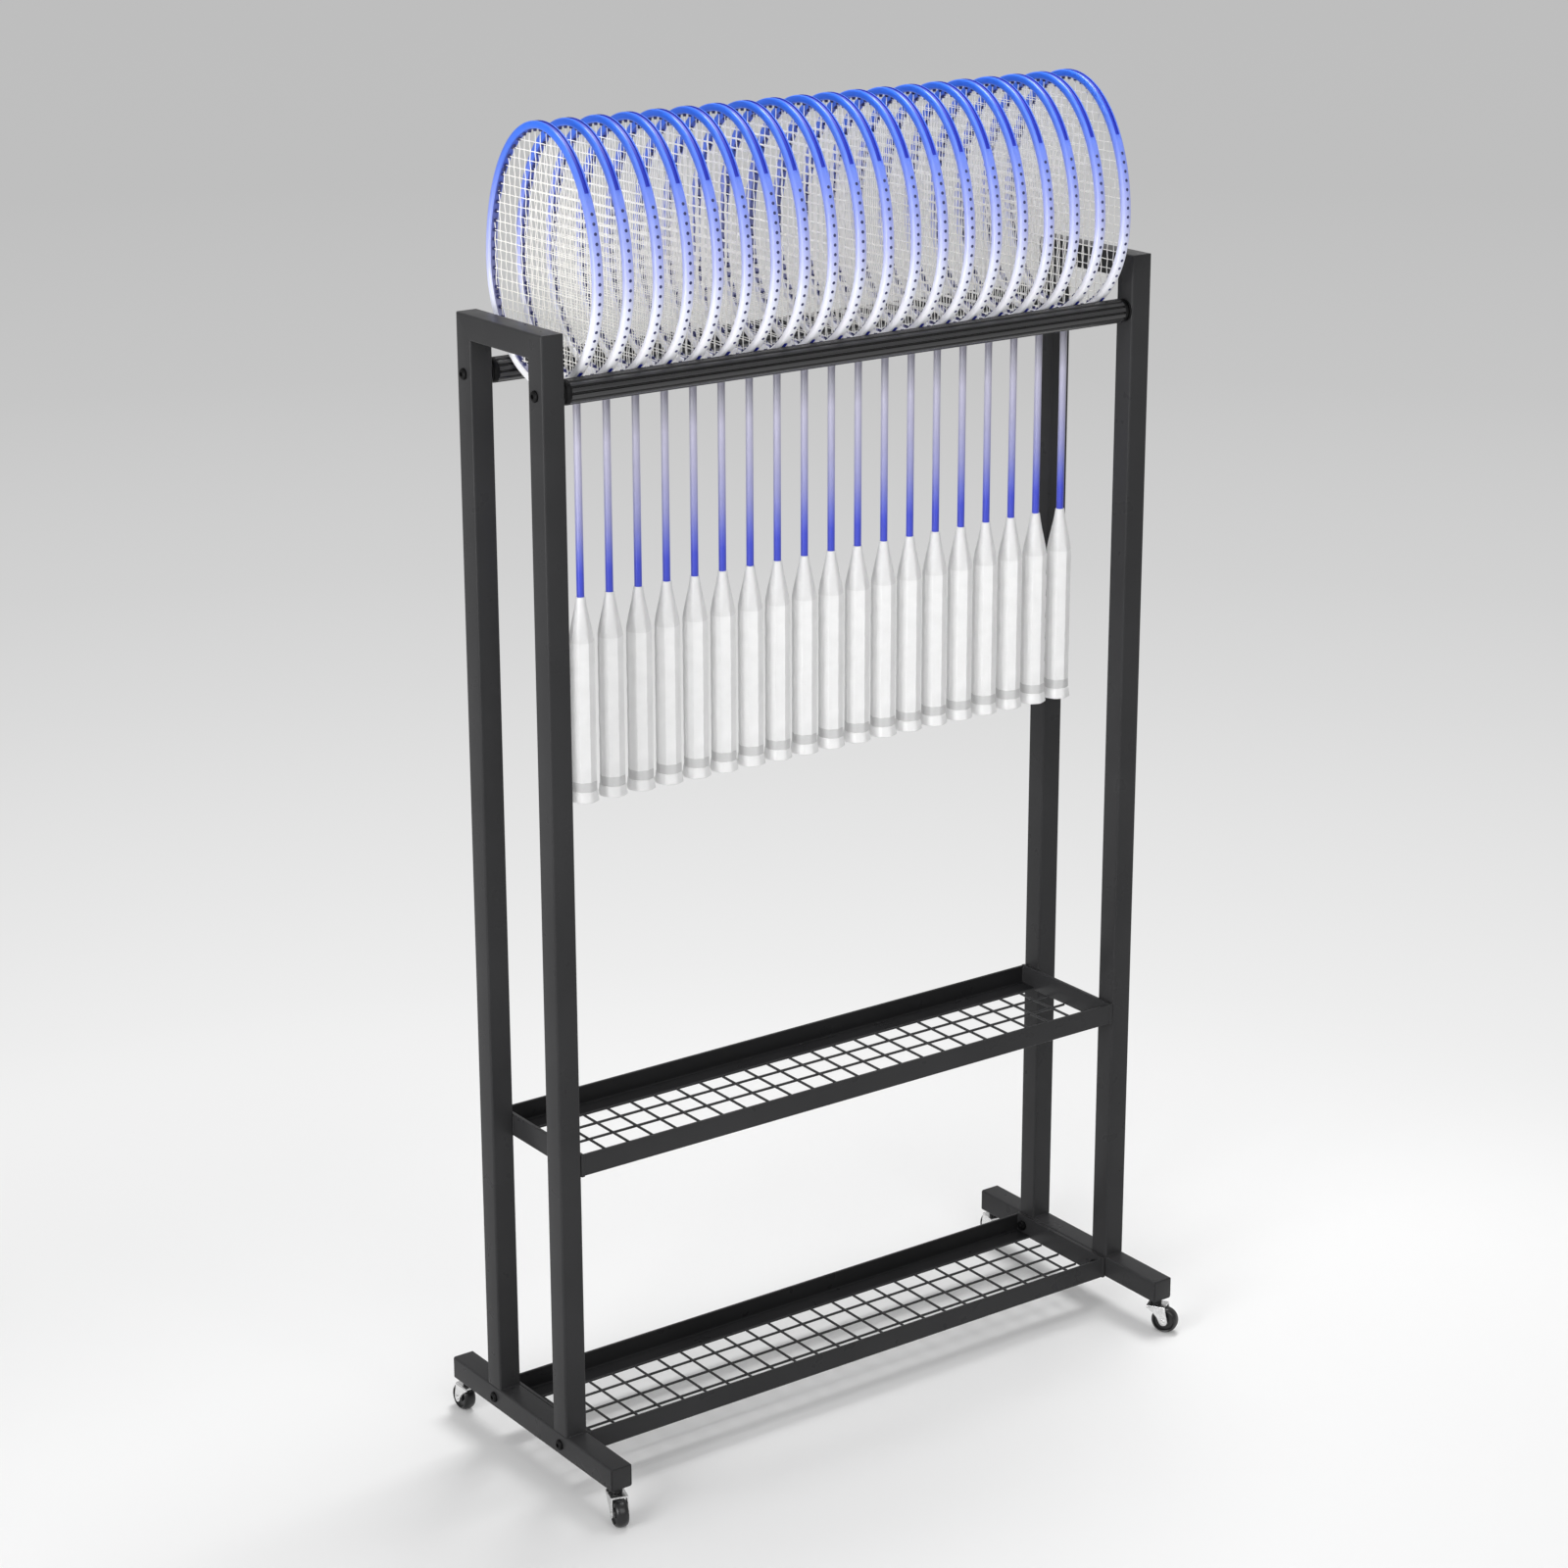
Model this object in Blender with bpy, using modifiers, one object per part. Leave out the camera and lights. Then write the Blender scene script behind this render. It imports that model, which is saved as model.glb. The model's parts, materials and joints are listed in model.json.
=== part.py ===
"""Racket and ball rack on four swivel casters, with a row of rackets hanging between its two rails.

Frame: +Z up, origin on the floor under the middle of the feet. +X runs along the rails and
-Y is the front. All sizes are in metres.
"""
import math

import bmesh
import bpy
from mathutils import Matrix

# Clearances
GAP = 0.0003
HOLE_CLEARANCE = 0.0006
PIVOT_CLEARANCE = 0.0008

# Limits used in mesh work: points that count as one, faces that point along an axis, kept corners
MERGE = 0.00001
FACING = 0.9
SHARP_ANGLE = math.radians(35)

# Side frames: square steel tube, mitred at the top corners
TUBE = 0.025
TUBE_WALL = 0.0015
TUBE_CORNER = 0.002
TUBE_CORNER_STEPS = 2
RACK_LENGTH = 0.747
RACK_DEPTH = 0.153
RACK_TOP = 1.201
FOOT_FRONT = 0.082
FOOT_REAR = 0.070
CAP_THICKNESS = 0.002
CAP_BEVEL = 0.0005

# Rails: fluted tube, rounded at both ends
RAIL_DIAMETER = 0.025
RAIL_DROP = 0.0585
RAIL_FLUTES = 12
FLUTE_DEPTH = 0.0013
FLUTE_SHARE = 0.42
FLUTE_FLOOR_SHARE = 0.4
RAIL_END_ROUND = 0.0035
RAIL_END_STEPS = 2

# Trays: angle along the front and rear, flat bar across the ends, wire mesh between
MID_TRAY_HEIGHT = 0.348
TRAY_SIDE = 0.024
ANGLE_LEG = 0.024
ANGLE_WALL = 0.0025
ANGLE_SETBACK = 0.0005
END_BAR = 0.004
WIRE = 0.0028
WIRE_WELD = 0.0006
LONG_WIRES = 3
LONG_WIRE_PITCH = 0.0306
CROSS_WIRE_PITCH = 0.02925
WIRE_SIDES = 6

# Bolts: button head with a hexagon socket
BOLT = 0.006
BOLT_HEAD = 0.0115
BOLT_HEAD_HEIGHT = 0.003
BOLT_CROWN = 0.0062
BOLT_RIM = 0.0006
BOLT_DOME_STEPS = 2
BOLT_SOCKET = 0.0046
BOLT_SOCKET_DEPTH = 0.0018
BOLT_SIDES = 8
HEXAGON = 6
RAIL_BOLT_REACH = 0.016
NUT_ALLOWANCE = 0.006

# Casters: pressed fork with triangular cheeks, wheel on a riveted axle
WHEEL_DIAMETER = 0.030
WHEEL_WIDTH = 0.014
WHEEL_CORNER = 0.0018
WHEEL_DISH = 0.0012
WHEEL_RIM = 0.0034
WHEEL_SIDES = 20
CASTER_TRAIL = 0.011
CASTER_INSET = 0.0095
FORK_SHEET = 0.0014
FORK_SIDE_CLEARANCE = 0.0008
FORK_BACK = 0.0085
FORK_FRONT = 0.0125
FORK_BOSS = 0.0048
FORK_BOSS_START = math.radians(200)
FORK_BOSS_END = math.radians(375)
FORK_BOSS_STEPS = 5
CROWN_THICKNESS = 0.002
CROWN_CLEARANCE = 0.0009
CROWN_EDGE = 0.0042
AXLE = 0.004
KINGPIN = 0.005
KINGPIN_HEAD = 0.008
KINGPIN_HEAD_HEIGHT = 0.001
HOUSING = 0.013
HOUSING_HEIGHT = 0.0064
STEM = 0.008
STEM_REACH = 0.011
STEM_NUT = 0.012
STEM_NUT_HEIGHT = 0.005
STEM_SIDES = 10

# Rackets: the free space between two butts, and the room from an upright to the first shaft
RACKET_SPACE = 0.0054
RACKET_END_ROOM = 0.020
RACKET_LENGTH = 0.675
HEAD_HALF_WIDTH = 0.097
HEAD_ABOVE = 0.143
HEAD_BELOW = 0.111
HEAD_FRAME_WIDTH = 0.0105
HEAD_FRAME_DEPTH = 0.0076
HEAD_POINTS = 20
STRING_BED = 0.0016
STRING_BAR = 0.003
UPRIGHT_BARS = 2
UPRIGHT_BAR_PITCH = 0.060
LEVEL_BARS = 2
LEVEL_BAR_PITCH = 0.078
LEVEL_BAR_MIDDLE = 0.016
THROAT = 0.010
THROAT_SINK = 0.004
THROAT_LENGTH = 0.024
SHAFT = 0.007
GRIP = 0.026
GRIP_LENGTH = 0.146
CONE_TOP = 0.011
CONE_LENGTH = 0.044
BUTT = 0.0284
BUTT_LENGTH = 0.022
BUTT_CHAMFER = 0.002
GRIP_SIDES = 8

# Places that follow from the sizes
RACK_MIDDLE = (FOOT_FRONT - FOOT_REAR) / 2
UPRIGHT_X = RACK_LENGTH / 2 - TUBE / 2
UPRIGHT_Y = RACK_DEPTH / 2 - TUBE / 2
FOOT_LENGTH = FOOT_FRONT + RACK_DEPTH + FOOT_REAR
CLEAR_LENGTH = RACK_LENGTH - 2 * TUBE - 2 * GAP
CROWN_BOTTOM = WHEEL_DIAMETER + CROWN_CLEARANCE
CROWN_TOP = CROWN_BOTTOM + CROWN_THICKNESS
HOUSING_BOTTOM = CROWN_TOP + GAP
HOUSING_TOP = HOUSING_BOTTOM + HOUSING_HEIGHT
FOOT_BOTTOM = HOUSING_TOP + GAP
FOOT_TOP = FOOT_BOTTOM + TUBE
CASTER_Y = FOOT_LENGTH / 2 - CASTER_INSET
RAIL_RADIUS = RAIL_DIAMETER / 2
RAIL_HEIGHT = RACK_TOP - RAIL_DROP
RACKET_PITCH = BUTT + RACKET_SPACE
RACKETS = int((CLEAR_LENGTH - 2 * RACKET_END_ROOM) / RACKET_PITCH) + 1

# Each side of the rack, and the way each caster trails at rest
SIDES = {"left": -1, "right": 1}
ENDS = {"front": -1, "rear": 1}
TRAIL_ANGLES = {
    ("left", "front"): math.radians(252.5),
    ("left", "rear"): math.radians(90.0),
    ("right", "front"): math.radians(-57.0),
    ("right", "rear"): math.radians(78.5),
}


def clear_scene():
    """Remove whatever the file holds."""
    for item in list(bpy.data.objects):
        bpy.data.objects.remove(item, do_unlink=True)
    for item in list(bpy.data.collections):
        bpy.data.collections.remove(item)


def make_collection(name):
    """A collection linked to the scene."""
    collection = bpy.data.collections.new(name)
    bpy.context.scene.collection.children.link(collection)
    return collection


def make_material(name, colour, roughness, metallic):
    """A Principled material of one colour."""
    material = bpy.data.materials.new(name)
    material.use_nodes = True
    shader = material.node_tree.nodes["Principled BSDF"]
    shader.inputs["Base Color"].default_value = (*colour, 1.0)
    shader.inputs["Roughness"].default_value = roughness
    shader.inputs["Metallic"].default_value = metallic
    return material


clear_scene()
PARTS = make_collection("racket_and_ball_rack")
CUTTERS = make_collection("cutters")
BLACK_STEEL = make_material("black_steel", (0.035, 0.035, 0.037), 0.42, 0.3)
BLACK_FLUTED = make_material("black_fluted", (0.030, 0.030, 0.031), 0.36, 0.4)
BLACK_WIRE = make_material("black_wire", (0.028, 0.028, 0.030), 0.45, 0.3)
BLACK_BOLT = make_material("black_bolt", (0.012, 0.012, 0.013), 0.40, 0.6)
BLACK_PLASTIC = make_material("black_plastic", (0.015, 0.015, 0.016), 0.50, 0.0)
ZINC = make_material("zinc_plate", (0.72, 0.73, 0.75), 0.25, 1.0)
TYRE = make_material("black_tyre", (0.010, 0.010, 0.011), 0.60, 0.0)
RACKET_BLUE = make_material("racket_blue", (0.06, 0.17, 0.85), 0.30, 0.0)


def shade(mesh, smooth):
    """Shade a mesh flat, or smooth with its corners kept sharp."""
    if smooth:
        mesh.shade_smooth()
        mesh.set_sharp_from_angle(angle=SHARP_ANGLE)


def place(name, mesh, material, matrix=None, smooth=False):
    """Put a finished mesh in the parts collection as a named piece."""
    mesh.name = name
    mesh.materials.clear()
    mesh.materials.append(material)
    shade(mesh, smooth)
    piece = bpy.data.objects.new(name, mesh)
    PARTS.objects.link(piece)
    if matrix is not None:
        piece.matrix_world = matrix
    return piece


def place_cutter(name, mesh, matrix):
    """Put a mesh in the cutters collection, hidden from renders."""
    cutter = bpy.data.objects.new(name, mesh)
    CUTTERS.objects.link(cutter)
    cutter.matrix_world = matrix
    cutter.hide_render = True
    cutter.display_type = "WIRE"
    return cutter


def combine(piece, other, operation):
    """Cut or join a piece with another object by an exact Boolean."""
    modifier = piece.modifiers.new(other.name, "BOOLEAN")
    modifier.operation = operation
    modifier.solver = "EXACT"
    modifier.object = other


def finish_bmesh(bm, name):
    """Turn a bmesh into a mesh with its faces pointing out."""
    bmesh.ops.recalc_face_normals(bm, faces=bm.faces)
    mesh = bpy.data.meshes.new(name)
    bm.to_mesh(mesh)
    bm.free()
    return mesh


def box_mesh(name, size, bevel=0.0):
    """A box about its own centre, with its edges bevelled if asked."""
    bm = bmesh.new()
    bmesh.ops.create_cube(bm, size=1.0, matrix=Matrix.Diagonal((*size, 1.0)))
    if bevel:
        bmesh.ops.bevel(bm, geom=bm.edges, offset=bevel, segments=1, affect="EDGES")
    return finish_bmesh(bm, name)


def rod_mesh(name, radius, length, sides):
    """A closed cylinder along Z about its own centre."""
    bm = bmesh.new()
    bmesh.ops.create_cone(bm, cap_ends=True, segments=sides, radius1=radius, radius2=radius, depth=length)
    return finish_bmesh(bm, name)


def outline_mesh(name, outline, thickness):
    """A flat outline in the XY plane, as a closed plate centred on that plane."""
    curve = bpy.data.curves.new(name, "CURVE")
    curve.dimensions = "2D"
    curve.fill_mode = "BOTH"
    curve.extrude = thickness / 2
    spline = curve.splines.new("POLY")
    spline.points.add(len(outline) - 1)
    for point, (u, v) in zip(spline.points, outline):
        point.co = (u, v, 0.0, 1.0)
    spline.use_cyclic_u = True
    holder = bpy.data.objects.new(name, curve)
    CUTTERS.objects.link(holder)
    depsgraph = bpy.context.evaluated_depsgraph_get()
    mesh = bpy.data.meshes.new_from_object(holder.evaluated_get(depsgraph))
    bpy.data.objects.remove(holder, do_unlink=True)
    bpy.data.curves.remove(curve)
    bm = bmesh.new()
    bm.from_mesh(mesh)
    bpy.data.meshes.remove(mesh)
    bmesh.ops.remove_doubles(bm, verts=bm.verts, dist=MERGE)
    return finish_bmesh(bm, name)


def turned_mesh(name, profile, steps):
    """A profile of (radius, height) points, top to bottom, turned about Z with a Screw modifier."""
    bm = bmesh.new()
    points = [bm.verts.new((radius, 0.0, height)) for radius, height in profile]
    for upper, lower in zip(points, points[1:]):
        bm.edges.new((upper, lower))
    mesh = bpy.data.meshes.new(name)
    bm.to_mesh(mesh)
    bm.free()
    holder = bpy.data.objects.new(name, mesh)
    CUTTERS.objects.link(holder)
    screw = holder.modifiers.new("turn", "SCREW")
    screw.steps = steps
    screw.render_steps = steps
    screw.use_merge_vertices = True
    screw.merge_threshold = MERGE
    depsgraph = bpy.context.evaluated_depsgraph_get()
    turned = bpy.data.meshes.new_from_object(holder.evaluated_get(depsgraph))
    bpy.data.objects.remove(holder, do_unlink=True)
    bpy.data.meshes.remove(mesh)
    bm = bmesh.new()
    bm.from_mesh(turned)
    bpy.data.meshes.remove(turned)
    bmesh.ops.remove_doubles(bm, verts=bm.verts, dist=MERGE)
    return finish_bmesh(bm, name)


def at(x, y, z):
    """A placement without rotation."""
    return Matrix.Translation((x, y, z))


# Turns local Z to world X or world Y
ALONG_X = Matrix.Rotation(math.radians(90), 4, "Y")
ALONG_Y = Matrix.Rotation(math.radians(-90), 4, "X")
# Turns an outline drawn as (y, z) in the local XY plane to stand in the world's YZ plane
FACING_X = Matrix(((0, 0, 1, 0), (1, 0, 0, 0), (0, 1, 0, 0), (0, 0, 0, 1)))


def open_tube_mesh(name, length):
    """The outer skin of a square tube along Z, open at both ends, with rounded long edges."""
    bm = bmesh.new()
    bmesh.ops.create_cube(bm, size=1.0, matrix=Matrix.Diagonal((TUBE, TUBE, length, 1.0)))
    caps = [face for face in bm.faces if abs(face.normal.z) > FACING]
    bmesh.ops.delete(bm, geom=caps, context="FACES_ONLY")
    long_edges = [edge for edge in bm.edges if abs((edge.verts[0].co - edge.verts[1].co).z) > length / 2]
    bmesh.ops.bevel(
        bm, geom=long_edges, offset=TUBE_CORNER, segments=TUBE_CORNER_STEPS, profile=0.5, affect="EDGES"
    )
    mesh = bpy.data.meshes.new(name)
    bm.to_mesh(mesh)
    bm.free()
    return mesh


def square_tube(name, length, matrix):
    """A hollow square tube of the given length, along the placement's Z."""
    tube = place(name, open_tube_mesh(name, length), BLACK_STEEL, matrix)
    wall = tube.modifiers.new("wall", "SOLIDIFY")
    wall.thickness = TUBE_WALL
    wall.offset = -1.0
    wall.use_rim = True
    return tube


def bolt_hole(name, x, y, z, length):
    """A cutter along X for a bolt."""
    radius = BOLT / 2 + HOLE_CLEARANCE / 2
    return place_cutter(name, rod_mesh(name, radius, length, BOLT_SIDES), at(x, y, z) @ ALONG_X)


def mitre_cutter(name, x, y, end, keep):
    """A block, several tubes wide, that takes away one side of the mitre plane through a top corner."""
    size = 4 * TUBE
    shift = (size - GAP) / 2 * (1 if keep == "upright" else -1)
    turn = Matrix.Rotation(math.radians(45) * end, 4, "X")
    matrix = at(x, y, RACK_TOP - TUBE / 2) @ turn @ at(0.0, 0.0, shift)
    return place_cutter(name, box_mesh(name, (size, size, size)), matrix)


def make_side_frame(side_name, side):
    """Two uprights, the crossbar that joins them and the foot they stand on."""
    x = side * UPRIGHT_X
    foot = square_tube(f"{side_name}_foot", FOOT_LENGTH, at(x, 0.0, FOOT_BOTTOM + TUBE / 2) @ ALONG_Y)
    crossbar = square_tube(
        f"{side_name}_crossbar", RACK_DEPTH, at(x, RACK_MIDDLE, RACK_TOP - TUBE / 2) @ ALONG_Y
    )
    upright_bottom = FOOT_TOP + GAP
    upright_length = RACK_TOP - upright_bottom
    for end_name, end in ENDS.items():
        y = RACK_MIDDLE + end * UPRIGHT_Y
        upright = square_tube(
            f"{side_name}_{end_name}_upright", upright_length, at(x, y, upright_bottom + upright_length / 2)
        )
        label = f"{side_name}_{end_name}"
        combine(upright, mitre_cutter(f"{label}_upright_mitre", x, y, end, "upright"), "DIFFERENCE")
        combine(crossbar, mitre_cutter(f"{label}_crossbar_mitre", x, y, end, "crossbar"), "DIFFERENCE")
        rail_hole = bolt_hole(f"{label}_rail_hole", x, y, RAIL_HEIGHT, 2 * TUBE)
        combine(upright, rail_hole, "DIFFERENCE")
        foot_hole = bolt_hole(f"{label}_foot_hole", x, y, FOOT_BOTTOM + TUBE / 2, 2 * TUBE)
        combine(foot, foot_hole, "DIFFERENCE")
        stem_radius = STEM / 2 + HOLE_CLEARANCE / 2
        stem_hole = place_cutter(
            f"{label}_stem_hole",
            rod_mesh("stem_hole", stem_radius, TUBE, STEM_SIDES),
            at(x, end * CASTER_Y, FOOT_BOTTOM),
        )
        combine(foot, stem_hole, "DIFFERENCE")
        cap_size = TUBE - 2 * TUBE_WALL - 2 * GAP
        place(
            f"{side_name}_{end_name}_foot_cap",
            box_mesh("foot_cap", (cap_size, CAP_THICKNESS, cap_size), bevel=CAP_BEVEL),
            BLACK_PLASTIC,
            at(x, end * (FOOT_LENGTH - CAP_THICKNESS) / 2, FOOT_BOTTOM + TUBE / 2),
        )


def fluted_outline():
    """The rail's section: narrow rounded-bottom grooves between wide lands."""
    points = []
    step = 2 * math.pi / RAIL_FLUTES
    groove = step * FLUTE_SHARE
    floor = groove * FLUTE_FLOOR_SHARE
    for index in range(RAIL_FLUTES):
        middle = index * step
        corners = (
            (middle - groove / 2, RAIL_RADIUS),
            (middle - floor / 2, RAIL_RADIUS - FLUTE_DEPTH),
            (middle + floor / 2, RAIL_RADIUS - FLUTE_DEPTH),
            (middle + groove / 2, RAIL_RADIUS),
        )
        points += [(radius * math.cos(angle), radius * math.sin(angle)) for angle, radius in corners]
    return points


def rail_mesh(name):
    """The fluted section extruded along Z, drawn in at both ends to round them off."""
    rounding = []
    for step in range(RAIL_END_STEPS + 1):
        angle = math.radians(90) * step / RAIL_END_STEPS
        height = CLEAR_LENGTH / 2 - RAIL_END_ROUND * (1 - math.sin(angle))
        scale = 1 - RAIL_END_ROUND * (1 - math.cos(angle)) / RAIL_RADIUS
        rounding.append((height, scale))
    stations = [(-height, scale) for height, scale in reversed(rounding)] + rounding
    bm = bmesh.new()
    height_now, scale_now = stations[0]
    ring = [bm.verts.new((u * scale_now, v * scale_now, height_now)) for u, v in fluted_outline()]
    edges = [bm.edges.new((ring[index - 1], vert)) for index, vert in enumerate(ring)]
    for height, scale in stations[1:]:
        grown = bmesh.ops.extrude_edge_only(bm, edges=edges)["geom"]
        edges = [item for item in grown if isinstance(item, bmesh.types.BMEdge)]
        moved = [item for item in grown if isinstance(item, bmesh.types.BMVert)]
        bmesh.ops.scale(bm, verts=moved, vec=(scale / scale_now, scale / scale_now, 1.0))
        bmesh.ops.translate(bm, verts=moved, vec=(0.0, 0.0, height - height_now))
        height_now, scale_now = height, scale
    open_edges = [edge for edge in bm.edges if edge.is_boundary]
    bmesh.ops.holes_fill(bm, edges=open_edges, sides=0)
    return finish_bmesh(bm, name)


def make_rails():
    """The two rails that carry the rackets, with a screw channel right through each."""
    for end_name, end in ENDS.items():
        y = RACK_MIDDLE + end * UPRIGHT_Y
        matrix = at(0.0, y, RAIL_HEIGHT) @ ALONG_X
        rail = place(f"{end_name}_rail", rail_mesh("rail"), BLACK_FLUTED, matrix, smooth=True)
        channel = bolt_hole(f"{end_name}_rail_channel", 0.0, y, RAIL_HEIGHT, RACK_LENGTH)
        combine(rail, channel, "DIFFERENCE")


def angle_outline(end):
    """An angle section as (y, z): one leg up the outside, the other turned in along the bottom."""
    inner = -end * ANGLE_LEG
    wall = -end * ANGLE_WALL
    height = TRAY_SIDE - 2 * ANGLE_SETBACK
    return [(0.0, 0.0), (inner, 0.0), (inner, ANGLE_WALL), (wall, ANGLE_WALL), (wall, height), (0.0, height)]


def make_tray(name, bottom, holed):
    """A tray frame: two angles and two flat bars, welded into one piece, with its wire mesh."""
    bar_x = (CLEAR_LENGTH - END_BAR) / 2
    bar_size = (END_BAR, RACK_DEPTH, TRAY_SIDE)
    left_place = at(-bar_x, RACK_MIDDLE, bottom + TRAY_SIDE / 2)
    right_place = at(bar_x, RACK_MIDDLE, bottom + TRAY_SIDE / 2)
    frame = place(f"{name}_tray_frame", box_mesh("bar", bar_size), BLACK_STEEL, left_place)
    right_bar = place_cutter(f"{name}_right_bar", box_mesh("bar", bar_size), right_place)
    for end_name, end in ENDS.items():
        outer = RACK_MIDDLE + end * (RACK_DEPTH / 2 - ANGLE_SETBACK)
        angle = place_cutter(
            f"{name}_{end_name}_angle",
            outline_mesh("angle", angle_outline(end), CLEAR_LENGTH - END_BAR),
            at(0.0, outer, bottom + ANGLE_SETBACK) @ FACING_X,
        )
        combine(frame, angle, "UNION")
    combine(frame, right_bar, "UNION")
    if holed:
        for side_name, side in SIDES.items():
            for end_name, end in ENDS.items():
                hole = bolt_hole(
                    f"{side_name}_{end_name}_tray_hole",
                    side * bar_x,
                    RACK_MIDDLE + end * UPRIGHT_Y,
                    FOOT_BOTTOM + TUBE / 2,
                    2 * END_BAR,
                )
                combine(frame, hole, "DIFFERENCE")
    make_wire_mesh(name, bottom)


def rods_mesh(name, length, positions):
    """Separate parallel wires along Z, one at each (x, y) position."""
    bm = bmesh.new()
    for x, y in positions:
        bmesh.ops.create_cone(
            bm,
            cap_ends=True,
            segments=WIRE_SIDES,
            radius1=WIRE / 2,
            radius2=WIRE / 2,
            depth=length,
            matrix=Matrix.Translation((x, y, 0.0)),
        )
    return finish_bmesh(bm, name)


def centred(count, pitch):
    """Positions of a row of equal spaces about zero."""
    return [(index - (count - 1) / 2) * pitch for index in range(count)]


def make_wire_mesh(name, bottom):
    """Cross wires in the plane of the angles' lower legs, welded onto the long wires under them."""
    inside = CLEAR_LENGTH - 2 * END_BAR - 2 * GAP
    across = RACK_DEPTH - 2 * (ANGLE_SETBACK + ANGLE_LEG) - 2 * GAP
    cross_count = int((inside - WIRE) / CROSS_WIRE_PITCH)
    cross_height = bottom + ANGLE_SETBACK + ANGLE_WALL / 2
    long_height = cross_height - WIRE + WIRE_WELD
    long_places = [(0.0, y) for y in centred(LONG_WIRES, LONG_WIRE_PITCH)]
    cross_places = [(x, 0.0) for x in centred(cross_count, CROSS_WIRE_PITCH)]
    mesh = place(
        f"{name}_tray_mesh",
        rods_mesh("wires", inside, long_places),
        BLACK_WIRE,
        at(0.0, RACK_MIDDLE, long_height) @ ALONG_X,
    )
    cross = place_cutter(
        f"{name}_cross_wires",
        rods_mesh("cross_wires", across, cross_places),
        at(0.0, RACK_MIDDLE, cross_height) @ ALONG_Y,
    )
    combine(mesh, cross, "UNION")


def bolt_mesh(name, length):
    """A button-head bolt along Z, its head above z = 0 and its shank below."""
    crown = BOLT_CROWN / 2
    profile = [(0.0, BOLT_HEAD_HEIGHT)]
    for step in range(BOLT_DOME_STEPS + 1):
        angle = math.radians(90) * step / BOLT_DOME_STEPS
        radius = crown + (BOLT_HEAD / 2 - crown) * math.sin(angle)
        height = BOLT_RIM + (BOLT_HEAD_HEIGHT - BOLT_RIM) * math.cos(angle)
        profile.append((radius, height))
    profile += [(BOLT_HEAD / 2, 0.0), (BOLT / 2, 0.0), (BOLT / 2, -length), (0.0, -length)]
    return turned_mesh(name, profile, BOLT_SIDES)


def make_bolts():
    """One bolt through each upright into its rail, and one through each foot into the lower tray."""
    for side_name, side in SIDES.items():
        outward = ALONG_X if side > 0 else Matrix.Rotation(math.radians(-90), 4, "Y")
        for end_name, end in ENDS.items():
            y = RACK_MIDDLE + end * UPRIGHT_Y
            seat = side * (RACK_LENGTH / 2 + GAP)
            rail_reach = TUBE + 2 * GAP + RAIL_BOLT_REACH
            foot_reach = TUBE + 2 * GAP + END_BAR + NUT_ALLOWANCE
            for use, z, length in (
                ("rail", RAIL_HEIGHT, rail_reach),
                ("foot", FOOT_BOTTOM + TUBE / 2, foot_reach),
            ):
                label = f"{side_name}_{end_name}_{use}_bolt"
                matrix = at(seat, y, z) @ outward
                bolt = place(label, bolt_mesh(label, length), BLACK_BOLT, matrix, smooth=True)
                socket = place_cutter(
                    f"{label}_socket",
                    rod_mesh("socket", BOLT_SOCKET / 2, 2 * BOLT_SOCKET_DEPTH, HEXAGON),
                    matrix @ at(0.0, 0.0, BOLT_HEAD_HEIGHT),
                )
                combine(bolt, socket, "DIFFERENCE")


def stem_mesh(name):
    """Threaded stem with its nut in the foot, the swivel housing below and the kingpin's rivet head."""
    wall_top = FOOT_BOTTOM + TUBE_WALL
    rivet_top = CROWN_BOTTOM - GAP
    profile = [
        (0.0, wall_top + STEM_REACH),
        (STEM / 2, wall_top + STEM_REACH),
        (STEM / 2, wall_top + GAP + STEM_NUT_HEIGHT),
        (STEM_NUT / 2, wall_top + GAP + STEM_NUT_HEIGHT),
        (STEM_NUT / 2, wall_top + GAP),
        (STEM / 2, wall_top + GAP),
        (STEM / 2, HOUSING_TOP),
        (HOUSING / 2, HOUSING_TOP),
        (HOUSING / 2, HOUSING_BOTTOM),
        (KINGPIN / 2, HOUSING_BOTTOM),
        (KINGPIN / 2, rivet_top),
        (KINGPIN_HEAD / 2, rivet_top),
        (KINGPIN_HEAD / 2, rivet_top - KINGPIN_HEAD_HEIGHT),
        (0.0, rivet_top - KINGPIN_HEAD_HEIGHT),
    ]
    return turned_mesh(name, profile, STEM_SIDES)


def fork_outline():
    """A cheek from the side as (forward, up): a triangle from the crown to a round boss at the axle."""
    axle_height = WHEEL_DIAMETER / 2
    outline = [(-FORK_BACK, CROWN_TOP), (-FORK_BACK, CROWN_TOP - CROWN_EDGE)]
    for step in range(FORK_BOSS_STEPS + 1):
        angle = FORK_BOSS_START + (FORK_BOSS_END - FORK_BOSS_START) * step / FORK_BOSS_STEPS
        forward = CASTER_TRAIL + FORK_BOSS * math.cos(angle)
        outline.append((forward, axle_height + FORK_BOSS * math.sin(angle)))
    outline.append((FORK_FRONT, CROWN_TOP))
    return outline


def wheel_mesh(name):
    """A wheel turned about Z, dished inside its rim, with a bore for the axle."""
    radius = WHEEL_DIAMETER / 2
    half = WHEEL_WIDTH / 2
    bore = AXLE / 2 + PIVOT_CLEARANCE / 2
    upper = [
        (bore, half - WHEEL_DISH),
        (radius - WHEEL_RIM, half - WHEEL_DISH),
        (radius - WHEEL_CORNER, half),
        (radius, half - WHEEL_CORNER),
    ]
    lower = [(r, -z) for r, z in reversed(upper)]
    return turned_mesh(name, upper + lower + [upper[0]], WHEEL_SIDES)


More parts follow.
